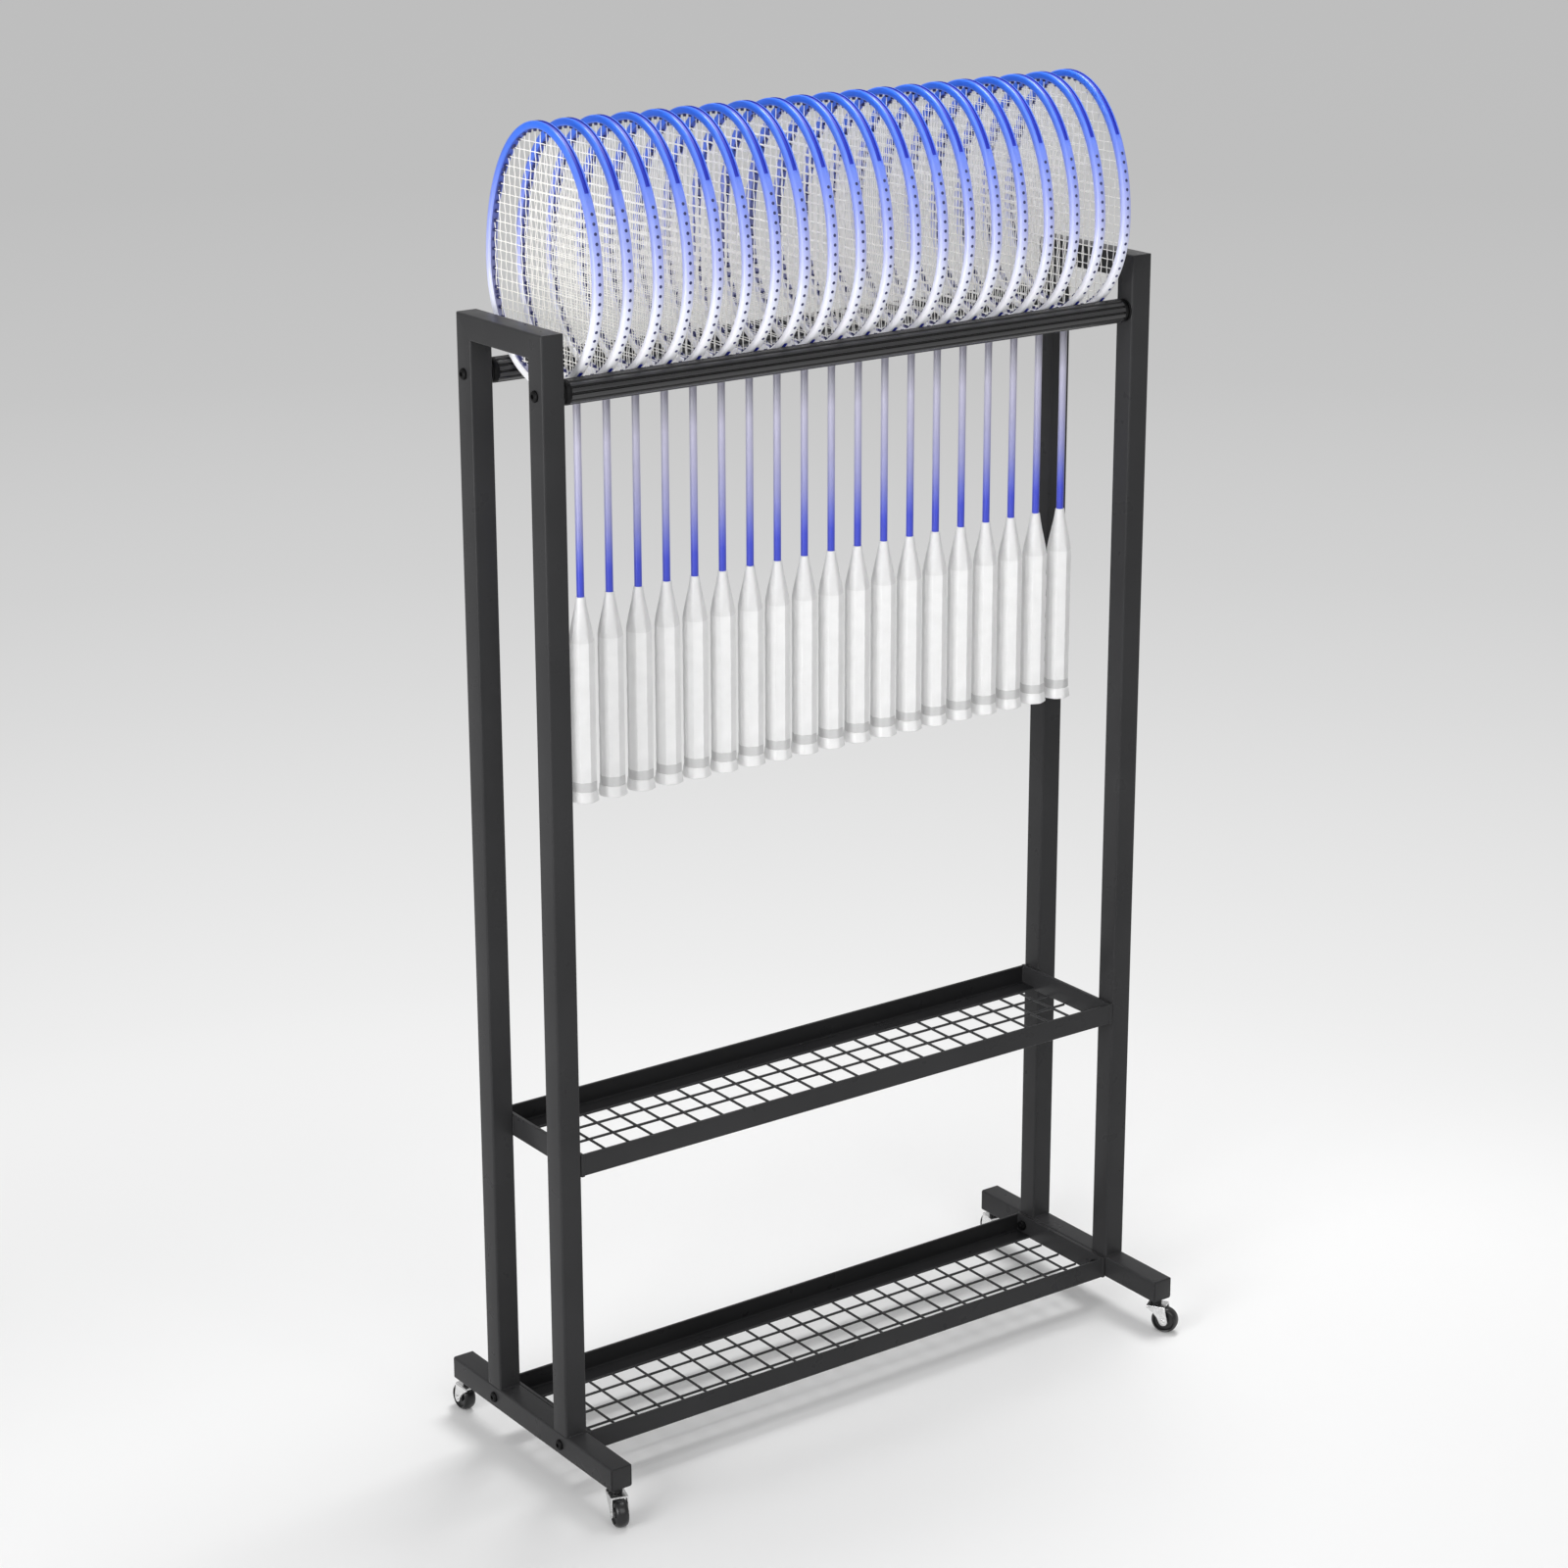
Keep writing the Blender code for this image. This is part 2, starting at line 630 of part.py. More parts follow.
def make_caster(side_name, side, end_name, end):
    """A stem in the foot, the fork that swivels on it and the wheel that rolls in the fork."""
    label = f"{side_name}_{end_name}"
    x = side * UPRIGHT_X
    y = end * CASTER_Y
    swivel = at(x, y, 0.0) @ Matrix.Rotation(TRAIL_ANGLES[side_name, end_name], 4, "Z")
    place(f"{label}_caster_stem", stem_mesh("stem"), BLACK_PLASTIC, at(x, y, 0.0), smooth=True)
    slot_width = WHEEL_WIDTH + 2 * FORK_SIDE_CLEARANCE
    fork_width = slot_width + 2 * FORK_SHEET
    upright_turn = Matrix.Rotation(math.radians(90), 4, "X")
    fork_plate = outline_mesh("fork", fork_outline(), fork_width)
    fork_plate.transform(upright_turn)
    fork = place(f"{label}_caster_fork", fork_plate, ZINC, swivel)
    length = 2 * (FORK_BACK + FORK_FRONT + CASTER_TRAIL)
    slot = place_cutter(
        f"{label}_fork_slot",
        box_mesh("slot", (length, slot_width, 2 * CROWN_BOTTOM)),
        swivel,
    )
    axle = place_cutter(
        f"{label}_axle",
        rod_mesh("axle", AXLE / 2, slot_width + FORK_SHEET, STEM_SIDES),
        swivel @ at(CASTER_TRAIL, 0.0, WHEEL_DIAMETER / 2) @ ALONG_Y,
    )
    pivot = place_cutter(
        f"{label}_pivot_hole",
        rod_mesh("pivot", KINGPIN / 2 + PIVOT_CLEARANCE / 2, 4 * CROWN_THICKNESS, STEM_SIDES),
        at(x, y, CROWN_TOP),
    )
    combine(fork, slot, "DIFFERENCE")
    combine(fork, axle, "UNION")
    combine(fork, pivot, "DIFFERENCE")
    place(
        f"{label}_caster_wheel",
        wheel_mesh("wheel"),
        TYRE,
        swivel @ at(CASTER_TRAIL, 0.0, WHEEL_DIAMETER / 2) @ ALONG_Y,
        smooth=True,
    )


def head_outline(inset=0.0):
    """The racket head's outline as (y, z) about its widest point, drawn in by an inset."""
    points = []
    for index in range(HEAD_POINTS):
        angle = 2 * math.pi * index / HEAD_POINTS
        reach = (HEAD_ABOVE if math.sin(angle) > 0 else HEAD_BELOW) - inset
        points.append(((HEAD_HALF_WIDTH - inset) * math.cos(angle), reach * math.sin(angle)))
    return points


def heights_at(outline, across):
    """Heights at which a closed outline of (across, height) points crosses a vertical line."""
    heights = []
    for index, (y1, z1) in enumerate(outline):
        y0, z0 = outline[index - 1]
        if y0 != y1 and min(y0, y1) <= across <= max(y0, y1):
            heights.append(z0 + (z1 - z0) * (across - y0) / (y1 - y0))
    return heights


def racket_seat():
    """Height of the head's widest point when the head rests on both rails."""
    head = head_outline()
    rail = [(UPRIGHT_Y + v, RAIL_HEIGHT - u) for u, v in fluted_outline()]
    seat = 0.0
    for y, _height in head + rail:
        over_rail = heights_at(rail, y)
        under_head = heights_at(head, y)
        if over_rail and under_head:
            seat = max(seat, max(over_rail) - min(under_head))
    return seat + GAP


def head_mesh(name):
    """The head's frame: a rectangular section carried round the outline."""
    side = HEAD_FRAME_WIDTH / 2
    outer = head_outline()
    inner = head_outline(HEAD_FRAME_DEPTH)
    bm = bmesh.new()
    loops = []
    for x, outline in ((side, outer), (-side, outer), (-side, inner), (side, inner)):
        loops.append([bm.verts.new((x, y, z)) for y, z in outline])
    for index, loop in enumerate(loops):
        beside = loops[index - 1]
        for point in range(HEAD_POINTS):
            bm.faces.new((loop[point - 1], loop[point], beside[point], beside[point - 1]))
    return finish_bmesh(bm, name)


def bars_mesh(name, spans):
    """Parallel bars of the string bed along Z, each from (across, low, high)."""
    bm = bmesh.new()
    for across, low, high in spans:
        middle = Matrix.Translation((0.0, across, (low + high) / 2))
        size = Matrix.Diagonal((STRING_BED, STRING_BAR, high - low, 1.0))
        bmesh.ops.create_cube(bm, size=1.0, matrix=middle @ size)
    return finish_bmesh(bm, name)


def string_bars(name, matrix):
    """Upright and level bars that stand for the strings, ending inside the head's frame."""
    middle_line = head_outline(HEAD_FRAME_DEPTH / 2)
    turned_line = [(z, y) for y, z in middle_line]
    upright = []
    for y in centred(UPRIGHT_BARS, UPRIGHT_BAR_PITCH):
        heights = heights_at(middle_line, y)
        upright.append((y, min(heights), max(heights)))
    level = []
    for offset in centred(LEVEL_BARS, LEVEL_BAR_PITCH):
        z = LEVEL_BAR_MIDDLE + offset
        places = heights_at(turned_line, z)
        level.append((-z, min(places), max(places)))
    level_turn = matrix @ Matrix.Rotation(math.radians(-90), 4, "X")
    return [
        place_cutter(f"{name}_upright_bars", bars_mesh("upright_bars", upright), matrix),
        place_cutter(f"{name}_level_bars", bars_mesh("level_bars", level), level_turn),
    ]


def handle_mesh(name):
    """Throat, shaft, cone, eight-sided grip and flared butt, turned about Z."""
    throat = THROAT_SINK - HEAD_BELOW
    butt = HEAD_ABOVE - RACKET_LENGTH
    grip_top = butt + BUTT_LENGTH + GRIP_LENGTH
    profile = [
        (0.0, throat),
        (THROAT / 2, throat),
        (SHAFT / 2, throat - THROAT_LENGTH),
        (SHAFT / 2, grip_top + CONE_LENGTH),
        (CONE_TOP / 2, grip_top + CONE_LENGTH),
        (GRIP / 2, grip_top),
        (GRIP / 2, butt + BUTT_LENGTH),
        (BUTT / 2, butt + BUTT_CHAMFER),
        (BUTT / 2 - BUTT_CHAMFER / 2, butt),
        (0.0, butt),
    ]
    return turned_mesh(name, profile, GRIP_SIDES)


def make_racket(name, x, seat):
    """One racket: its head's frame, the bars of its string bed and its handle, in one piece."""
    matrix = at(x, RACK_MIDDLE, seat)
    racket = place(name, head_mesh("head"), RACKET_BLUE, matrix)
    for bars in string_bars(name, matrix):
        combine(racket, bars, "UNION")
    handle = place_cutter(f"{name}_handle", handle_mesh("handle"), matrix)
    combine(racket, handle, "UNION")


def make_rackets():
    """The rackets, each lowered between the rails until its head rests on both."""
    seat = racket_seat()
    for index, x in enumerate(centred(RACKETS, RACKET_PITCH), start=1):
        make_racket(f"racket_{index:02d}", x, seat)


for side_name, side in SIDES.items():
    make_side_frame(side_name, side)
    for end_name, end in ENDS.items():
        make_caster(side_name, side, end_name, end)
make_rails()
make_tray("mid", MID_TRAY_HEIGHT, holed=False)
make_tray("lower", FOOT_BOTTOM, holed=True)
make_bolts()
make_rackets()
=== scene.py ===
"""Looks of the racket and ball rack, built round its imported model.

Frame: metres, +Z up, origin on the floor under the middle of the feet. +X runs along the rails
and -Y is the front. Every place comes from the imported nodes' boxes and joints.
"""
import json
import math

import bmesh
import bpy
from mathutils import Matrix, Vector


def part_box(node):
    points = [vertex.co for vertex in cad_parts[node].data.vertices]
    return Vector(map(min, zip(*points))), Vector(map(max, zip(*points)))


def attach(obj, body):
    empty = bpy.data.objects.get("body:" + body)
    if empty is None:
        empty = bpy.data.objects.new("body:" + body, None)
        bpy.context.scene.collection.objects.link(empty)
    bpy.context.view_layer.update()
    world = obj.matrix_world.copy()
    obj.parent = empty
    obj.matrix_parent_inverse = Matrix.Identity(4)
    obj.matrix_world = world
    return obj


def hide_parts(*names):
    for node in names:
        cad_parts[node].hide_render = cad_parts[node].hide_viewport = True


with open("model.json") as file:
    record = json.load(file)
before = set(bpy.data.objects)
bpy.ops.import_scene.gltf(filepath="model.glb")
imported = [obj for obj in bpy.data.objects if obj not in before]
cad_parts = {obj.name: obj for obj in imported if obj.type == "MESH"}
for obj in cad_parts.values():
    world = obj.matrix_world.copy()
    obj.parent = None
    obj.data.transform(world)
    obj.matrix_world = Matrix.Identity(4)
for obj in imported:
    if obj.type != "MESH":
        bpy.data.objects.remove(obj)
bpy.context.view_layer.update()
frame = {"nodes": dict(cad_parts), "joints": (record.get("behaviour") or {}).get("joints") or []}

# Camera, fitted to the photograph's edges
CAMERA_PLACE = (-2.1289, -2.8844, 1.8507)
CAMERA_YAW = math.radians(35.816)
CAMERA_PITCH = math.radians(-18.144)
CAMERA_ROLL = math.radians(-0.127)
CAMERA_LENS = 83.36
CAMERA_SENSOR = 36.0

# Sides and ends of the rack
SIDES = {"left": -1, "right": 1}
ENDS = {"front": -1, "rear": 1}
CORNERS = [(side, end) for side in SIDES for end in ENDS]
TRAYS = ("mid", "lower")
RACKETS = sorted(name for name in frame["nodes"] if name.startswith("racket_"))

# Square tube
TUBE_CORNER = 0.0022
TUBE_CORNER_STEPS = 5
BEAD = 0.0011
BEAD_RIPPLE = 0.16
BEAD_PITCH = 0.0026
BEAD_SIDES = 10
BEAD_LEAST_STEPS = 6
BEAD_STEPS_A_RIPPLE = 4
BEAD_FADE = 8
BEAD_LEAST = 0.15
CAP_DOME = 0.0006
CAP_ROUND = 0.00027

# Rails
RAIL_RADIUS = 0.0125
RAIL_FLUTES = 12
FLUTE_SHARE = 0.42
FLUTE_DEPTH = 0.0015
FLUTE_ROUNDNESS = 0.6
FLUTE_STEPS = 8
LAND_STEPS = 3
RAIL_CAP = 0.0080
RAIL_CAP_ROUND = 0.0055
RAIL_CAP_DROP = 0.0034
RAIL_CAP_SIDES = 48
RAIL_CAP_STEPS = 8
RAIL_NOSE = 0.0060
# Start of an end cap and its washer: (radius, distance from the fluted part). Caps and washer
# take the bolts' near-black: a dark end cap, with painted shade in the gap at the upright.
CAP_START = [(RAIL_RADIUS - 0.0006, 0.0), (RAIL_RADIUS, 0.0005)]
CAP_WASHER = [
    (RAIL_RADIUS - 0.0012, RAIL_NOSE + 0.0001),
    (RAIL_RADIUS - 0.0008, RAIL_NOSE + 0.0004),
    (RAIL_RADIUS - 0.0008, RAIL_CAP),
]

# Trays
ANGLE_LEG = 0.024
ANGLE_WALL = 0.0025
ANGLE_SETBACK = 0.0005
ANGLE_ROUNDS = (0.0012, 0.0005, 0.0008, 0.0020, 0.0008, 0.0005)
ANGLE_STEPS = 4
END_BAR = 0.004
END_BAR_ROUND = 0.0005
WIRE_RADIUS = 0.0014
WIRE_SIDES = 12
WIRE_END = [(0.55, 0.0), (0.9, 0.0005), (1.0, 0.0012)]
WIRE_WELD = Matrix.Diagonal((1.25, 1.25, 0.75, 1.0))
WELD_SIDES = 10
WELD_RINGS = 6
LONG_WIRES = 3
LONG_WIRE_PITCH = 0.0306
CROSS_WIRES = 23
CROSS_WIRE_PITCH = 0.02925

# Bolts and nuts
BOLT_SIDES = 36
BOLT_HEAD = 0.0115
BOLT_HEAD_HEIGHT = 0.003
BOLT_RIM = 0.0006
BOLT_UNDERCUT = 0.0002
BOLT_CROWN = 0.0060
BOLT_CROWN_STEPS = 5
BOLT_SOCKET = 0.0042
BOLT_SOCKET_DEPTH = 0.0019
SOCKET_MIDDLE = 0.02
BOLT_SHANK = 0.006
SHANK_CHAMFER = 0.0005
SHANK_CHAMFER_LENGTH = 0.0004
NUT_FLATS = 0.010
NUT_HEIGHT = 0.0048
NUT_CHAMFER = 0.0006

# Casters
FORK_SHEET = 0.0014
FORK_SLOT = 0.0156
FORK_BACK = 0.0085
FORK_FRONT = 0.0125
FORK_BOSS = 0.0048
BOSS_START = math.radians(200)
BOSS_SWEEP = math.radians(175)
BOSS_STEPS = 12
FORK_EDGE = 0.00035
FORK_EDGE_STEPS = 2
CHEEK_DROP = 0.0002
CROWN_BOTTOM = 0.0309
CROWN_TOP = 0.0329
CROWN_ROUNDS = (0.0002, 0.0002, 0.0012, 0.0012)
CROWN_STEPS = 4
TRAIL = 0.011
AXLE_RADIUS = 0.002
AXLE_SIDES = 20
RIVET_SIDES = 24
SWIVEL_GAP = 0.0003
STEM_RADIUS = 0.004
KINGPIN_RADIUS = 0.0025
KINGPIN_HEAD_TOP = 0.0040
KINGPIN_HEAD_BOTTOM = 0.0036
WHEEL_RADIUS = 0.015
WHEEL_HALF = 0.007
WHEEL_SIDES = 48
# Back edge of a cheek: (forward of the stem, below the crown's top)
FORK_BACK_EDGE = [
    (-FORK_BACK, CHEEK_DROP), (-FORK_BACK, 0.0034), (-0.0036, 0.0060), (0.0008, 0.0095),
    (0.0044, 0.0137),
]
# Rivet: (radius, height above the cheek), with a dished middle
RIVET = [(0.0027, 0.0), (0.0027, 0.0003), (0.00216, 0.0007), (0.00108, 0.0004), (0.0, 0.0004)]
# Swivel housing: (radius, depth under the foot)
HOUSING = [
    (STEM_RADIUS, 0.0003), (0.0056, 0.0003), (0.0063, 0.0008), (0.0065, 0.0016),
    (0.0065, 0.0034), (0.0061, 0.0038), (0.0065, 0.0042), (0.0065, 0.0060),
]
HOUSING_BOTTOM_RADIUS = 0.0062
HOUSING_SIDES = 40
# One side of a wheel, from its bore to the tread: (radius, depth below its face)
WHEEL_SIDE = [
    (0.0023, 0.0008), (0.0048, 0.0008), (0.0053, 0.0012), (0.0056, 0.0026), (0.0104, 0.0026),
    (0.0110, 0.0020), (0.0114, 0.0006), (0.0122, 0.0002), (0.0130, 0.0007), (0.0138, 0.0016),
    (0.0144, 0.0027), (0.0148, 0.0040), (WHEEL_RADIUS, 0.0055),
]

# Racket head: outline about its widest point, frame section, string grooves
HEAD_HALF_WIDTH = 0.097
HEAD_ABOVE = 0.143
HEAD_BELOW = 0.111
RIM_STEPS = 128
RIM_DEPTH = 0.0076
GROOVE_DEPTH = 0.0012
GROOVE_WIDTH = 0.0046
TOP_GROOVE = math.radians(58)
BOTTOM_GROOVE = math.radians(43)
GROOVE_FADE = math.radians(5)
# Half of the frame's section beside its groove: (sideways, outward)
RIM_SIDE = [
    (GROOVE_WIDTH / 2, -0.00010), (0.0033, -0.00022), (0.0044, -0.00070), (0.0050, -0.00150),
    (0.00525, -0.00260), (0.00525, -0.00480), (0.0050, -0.00600), (0.0043, -0.00690),
    (0.0032, -0.00740), (0.0016, -0.00757), (0.0, -RIM_DEPTH),
]
GROOVE_SLOPE = 0.0003
# Section points from here round the inside take the inner face's painted shade.
INNER_FACE_START = 10

# Strings and grommets
STRING_RADIUS = 0.00048
STRING_SIDES = 4
WEAVE = STRING_RADIUS * 0.95
MAINS = 19
MAIN_PITCH = 0.0095
CROSSES = 24
CROSS_PITCH = 0.0092
CROSS_MIDDLE = 0.016
STRING_INSET = 0.002
GROMMET_SPACING = 0.0093
GROMMET_SEARCH = math.radians(0.1)
GROMMET_SIDES = 8
# Grommets: (radius, height above the frame)
DOME = [(0.0017, -0.0003), (0.0017, 0.00015), (0.00119, 0.00048), (0.0, 0.0006)]
BARREL = [(0.0020, -0.0012), (0.0017, 0.0024), (0.0008, 0.0024)]

# Racket handle: heights are below the head's widest point
RACKET_LENGTH = 0.675
SHAFT_RADIUS = 0.0038
THROAT_TOP = 0.1065
BUTT_END = RACKET_LENGTH - HEAD_ABOVE - 0.0022
BUTT_CAP = 0.0115
BUTT_RING = 0.0095
GRIP_LENGTH = 0.1441
CONE_LENGTH = 0.044
GRIP_END = BUTT_END - BUTT_CAP - BUTT_RING
BAND_END = GRIP_END + BUTT_RING
GRIP_TOP = GRIP_END - GRIP_LENGTH
CONE_TOP = GRIP_TOP - CONE_LENGTH
GRIP_APOTHEM = 0.0120
GRIP_CORNER = 0.0128
GRIP_ROUND = 1.03
GRIP_ROUNDNESS = 0.02
BUTT_ROUNDNESS = 0.2
GRIP_TURN = math.radians(22.5)
GRIP_POINTS = 32
WRAP_PITCH = 0.024
WRAP_STEP = 0.00035
WRAP_EDGE = 0.10
GRIP_RING_STEP = 0.0013
CONE_STEPS = 16
CONE_START = 0.0047
CONE_OVER_GRIP = 0.0002
CONE_SWELL = 0.45
CONE_DROP = 0.0008
# Top of the cone: (depth, radius)
CONE_LIP = [(CONE_TOP, 0.0037), (CONE_TOP, 0.0042), (CONE_TOP + 0.0006, 0.0046)]
SHAFT_SIDES = 24
# Fairing and shaft: (depth, half the thickness, half the width in the head's plane)
SHAFT_STATIONS = [
    (THROAT_TOP, 0.0044, 0.0105), (0.1110, 0.0045, 0.0085), (0.1150, 0.0045, 0.0064),
    (0.1200, 0.0043, 0.0050), (0.1270, 0.0039, 0.0041), (0.1350, SHAFT_RADIUS, SHAFT_RADIUS),
    (CONE_TOP + 0.003, SHAFT_RADIUS, SHAFT_RADIUS),
]
# Finishing band and butt cap: (depth, radius)
BAND_STATIONS = [
    (GRIP_END - 0.0006, 0.0118), (GRIP_END - 0.0001, 0.0123), (BAND_END - 0.0005, 0.0124),
    (BAND_END, 0.0122),
]
BUTT_STATIONS = [
    (BAND_END, 0.0124), (BAND_END + 0.0006, 0.0129), (BAND_END + 0.0055, 0.0134),
    (BUTT_END - 0.0024, 0.0141), (BUTT_END - 0.0010, 0.0139), (BUTT_END - 0.0002, 0.0130),
    (BUTT_END, 0.0115), (BUTT_END - 0.0006, 0.0106), (BUTT_END - 0.0008, 0.0040),
]

RIGHT_ANGLE = math.radians(90)
SHARP_ANGLE = math.radians(34)
BOX_EDGE_STEPS = 3
HEXAGON = 6
OCTAGON = 8
# Least radius at the end of a turned form, and the step across that a flat edge may have
LEAST_RADIUS = 0.00002
FLAT = 0.0001


def plain_mesh(bm, name):
    """A mesh with what was built, as it is."""
    mesh = bpy.data.meshes.new(name)
    bm.to_mesh(mesh)
    bm.free()
    return mesh


def finish_mesh(bm, name):
    """A mesh with its faces pointing out, smooth apart from its sharp corners."""
    bmesh.ops.recalc_face_normals(bm, faces=bm.faces)
    mesh = plain_mesh(bm, name)
    mesh.shade_smooth()
    mesh.set_sharp_from_angle(angle=SHARP_ANGLE)
    return mesh


def add_loft(bm, rings, closed=False):
    """Skin rings that all have the same count of points; a closed loft joins its ends."""
    rows = [[bm.verts.new(point) for point in ring] for ring in rings]
    pairs = list(zip(rows, rows[1:]))
    if closed:
        pairs.append((rows[-1], rows[0]))
    for low, high in pairs:
        for index in range(len(low)):
            after = (index + 1) % len(low)
            bm.faces.new((low[index], low[after], high[after], high[index]))
    if not closed:
        bm.faces.new(list(reversed(rows[0])))
        bm.faces.new(rows[-1])


def loft_mesh(name, rings, closed=False):
    """One loft as a mesh."""
    bm = bmesh.new()
    add_loft(bm, rings, closed)
    return finish_mesh(bm, name)


def lifted(outline, place, axis=2):
    """A flat outline as a ring at a place along Z, or along another axis."""
    return [[*point[:axis], place, *point[axis:]] for point in outline]


def placed(matrix, rings):
    """Rings moved by a matrix."""
    return [[matrix @ Vector(point) for point in ring] for ring in rings]


def polar(radius, angle):
    """The point at a distance and in a direction from the origin."""
    return radius * math.cos(angle), radius * math.sin(angle)


def circle(radius, count, turn=0.0):
    """Points of a circle about the origin."""
    return [polar(radius, turn + 2 * math.pi * index / count) for index in range(count)]


def from_flat(angle, sides):
    """An angle measured from the middle of a regular polygon's nearest side."""
    half = math.pi / sides
    return (angle + half) % (2 * half) - half


def turned_rings(profile, count):
    """Rings about Z for a profile of (radius, height)."""
    return [lifted(circle(max(radius, LEAST_RADIUS), count), height) for radius, height in profile]


def rounded_outline(corners, radii, steps):
    """A closed outline with each corner replaced by an arc of its own radius."""
    outline = []
    for index, corner in enumerate(corners):
        here = Vector(corner)
        before = (Vector(corners[index - 1]) - here).normalized()
        after = (Vector(corners[(index + 1) % len(corners)]) - here).normalized()
        radius = radii[index]
        half = before.angle(after) / 2
        centre = here + (before + after).normalized() * (radius / math.sin(half))
        start = here + before * (radius / math.tan(half)) - centre
        end = here + after * (radius / math.tan(half)) - centre
        for step in range(steps + 1):
            arm = start.lerp(end, step / steps)
            outline.append(tuple(centre + arm.normalized() * radius))
    return outline


def rectangle(left, bottom, right, top):
    """The corners of an upright rectangle."""
    return [(left, bottom), (right, bottom), (right, top), (left, top)]


def tube_rings(low, high, axis):
    """Rings of a square tube's section at both ends of its box, along X, Y or Z."""
    first, second = [index for index in range(3) if index != axis]
    corners = rectangle(low[first], low[second], high[first], high[second])
    section = rounded_outline(corners, [TUBE_CORNER] * 4, TUBE_CORNER_STEPS)
    return [lifted(section, place, axis) for place in (low[axis], high[axis])]


def round_edges(bm, edges, offset, steps):
    """Give edges a round bevel."""
    bmesh.ops.bevel(bm, geom=edges, offset=offset, segments=steps, profile=0.5, affect="EDGES")


def add_rounded_box(bm, low, high, bevel):
    """A box with all its edges rounded."""
    low, high = Vector(low), Vector(high)
    size = high - low
    matrix = Matrix.Translation((low + high) / 2) @ Matrix.Diagonal((*size, 1.0))
    made = bmesh.ops.create_cube(bm, size=1.0, matrix=matrix)
    edges = list(dict.fromkeys(edge for vert in made["verts"] for edge in vert.link_edges))
    round_edges(bm, edges, bevel, BOX_EDGE_STEPS)


def srgb(code):
    """A colour written as a hexadecimal sRGB code, in linear values."""
    parts = [int(code[index:index + 2], 16) / 255 for index in (0, 2, 4)]
    return tuple(part / 12.92 if part <= 0.04045 else ((part + 0.055) / 1.055) ** 2.4 for part in parts)


def new_material(name, code, roughness, metallic=0.0, coat=0.0, coat_roughness=0.1, specular=0.5):
    """A material with plain values on the shader's own sockets, and the piece's coordinates."""
    material = bpy.data.materials.new(name)
    material.use_nodes = True
    shader = material.node_tree.nodes["Principled BSDF"]
    shader.inputs["Base Color"].default_value = (*srgb(code), 1.0)
    shader.inputs["Roughness"].default_value = roughness
    shader.inputs["Metallic"].default_value = metallic
    shader.inputs["Coat Weight"].default_value = coat
    shader.inputs["Coat Roughness"].default_value = coat_roughness
    shader.inputs["Specular IOR Level"].default_value = specular
    return material, object_space(material)


def add_node(material, kind, **values):
    """A node with some of its inputs set by name."""
    node = material.node_tree.nodes.new("ShaderNode" + kind)
    for name, value in values.items():
        node.inputs[name.replace("_", " ")].default_value = value
    return node


def join(material, output, socket):
    """Link an output to a socket."""
    material.node_tree.links.new(output, socket)


def object_space(material):
    """The piece's own coordinates."""
    return add_node(material, "TexCoord").outputs["Object"]


def stretched(material, vector, scale):
    """Coordinates scaled along X, Y and Z."""
    node = add_node(material, "Mapping", Scale=scale)
    join(material, vector, node.inputs["Vector"])
    return node.outputs["Vector"]


def noise(material, vector, scale, detail=3.0):
    """Noise from 0 to 1, with the scale in waves a metre."""
    node = add_node(material, "TexNoise", Scale=scale, Detail=detail)
    join(material, vector, node.inputs["Vector"])
    return node.outputs["Fac"]


def spread(material, value, low, high, from_low=0.3, from_high=0.7):
    """Map a value from one range to another."""
    ranges = {"From_Min": from_low, "From_Max": from_high, "To_Min": low, "To_Max": high}
    node = add_node(material, "MapRange", **ranges)
    join(material, value, node.inputs["Value"])
    return node.outputs["Result"]


def ramp(material, value, stops):
    """Colours by position from 0 to 1, in linear values."""
    node = add_node(material, "ValToRGB")
    elements = node.color_ramp.elements
    while len(elements) < len(stops):
        elements.new(0.5)
    for element, (position, colour) in zip(elements, stops):
        element.position = position
        element.color = (*colour, 1.0)
    join(material, value, node.inputs["Fac"])
    return node.outputs["Color"]


def height_of(material, vector):
    """The Z part of a vector."""
    node = add_node(material, "SeparateXYZ")
    join(material, vector, node.inputs["Vector"])
    return node.outputs["Z"]


def drive(material, socket, value):
    """Connect a value that varies over the surface to one of the shader's sockets."""
    shader = material.node_tree.nodes["Principled BSDF"]
    join(material, value, shader.inputs[socket])


def bump(material, value, strength, distance):
    """A bump on the shader from a height value."""
    node = add_node(material, "Bump", Strength=strength, Distance=distance)
    join(material, value, node.inputs["Height"])
    drive(material, "Normal", node.outputs["Normal"])


def vary_colour(material, vector, scale, low, high, colour=None):
    """Make the plain base colour, or a given output, lighter and darker with noise."""
    node = add_node(material, "VectorMath")
    node.operation = "SCALE"
    if colour is None:
        plain = material.node_tree.nodes["Principled BSDF"].inputs["Base Color"]
        node.inputs[0].default_value = plain.default_value[:3]
    else:
        join(material, colour, node.inputs[0])
    tone = spread(material, noise(material, vector, scale), low, high)
    join(material, tone, node.inputs["Scale"])
    drive(material, "Base Color", node.outputs["Vector"])


def vary_roughness(material, vector, scale, low, high):
    """Move the roughness between two values with noise."""
    drive(material, "Roughness", spread(material, noise(material, vector, scale), low, high))


def powder_coat(name, code):
    """Satin powder coat: fine orange peel, slight changes of tone and gloss."""
    material, space = new_material(name, code, 0.31, specular=0.1)
    vary_colour(material, space, 9.0, 0.90, 1.10)
    vary_roughness(material, space, 35.0, 0.26, 0.36)
    bump(material, noise(material, space, 900.0, 2.0), 0.12, 0.0002)
    return material


def fluted_black(name, code):
    """Drawn black surface with fine lines along the rail."""
    material, space = new_material(name, code, 0.24)
    lines = stretched(material, space, (2.0, 900.0, 900.0))
    vary_colour(material, lines, 1.0, 0.88, 1.12)
    vary_roughness(material, lines, 1.0, 0.18, 0.30)
    return material


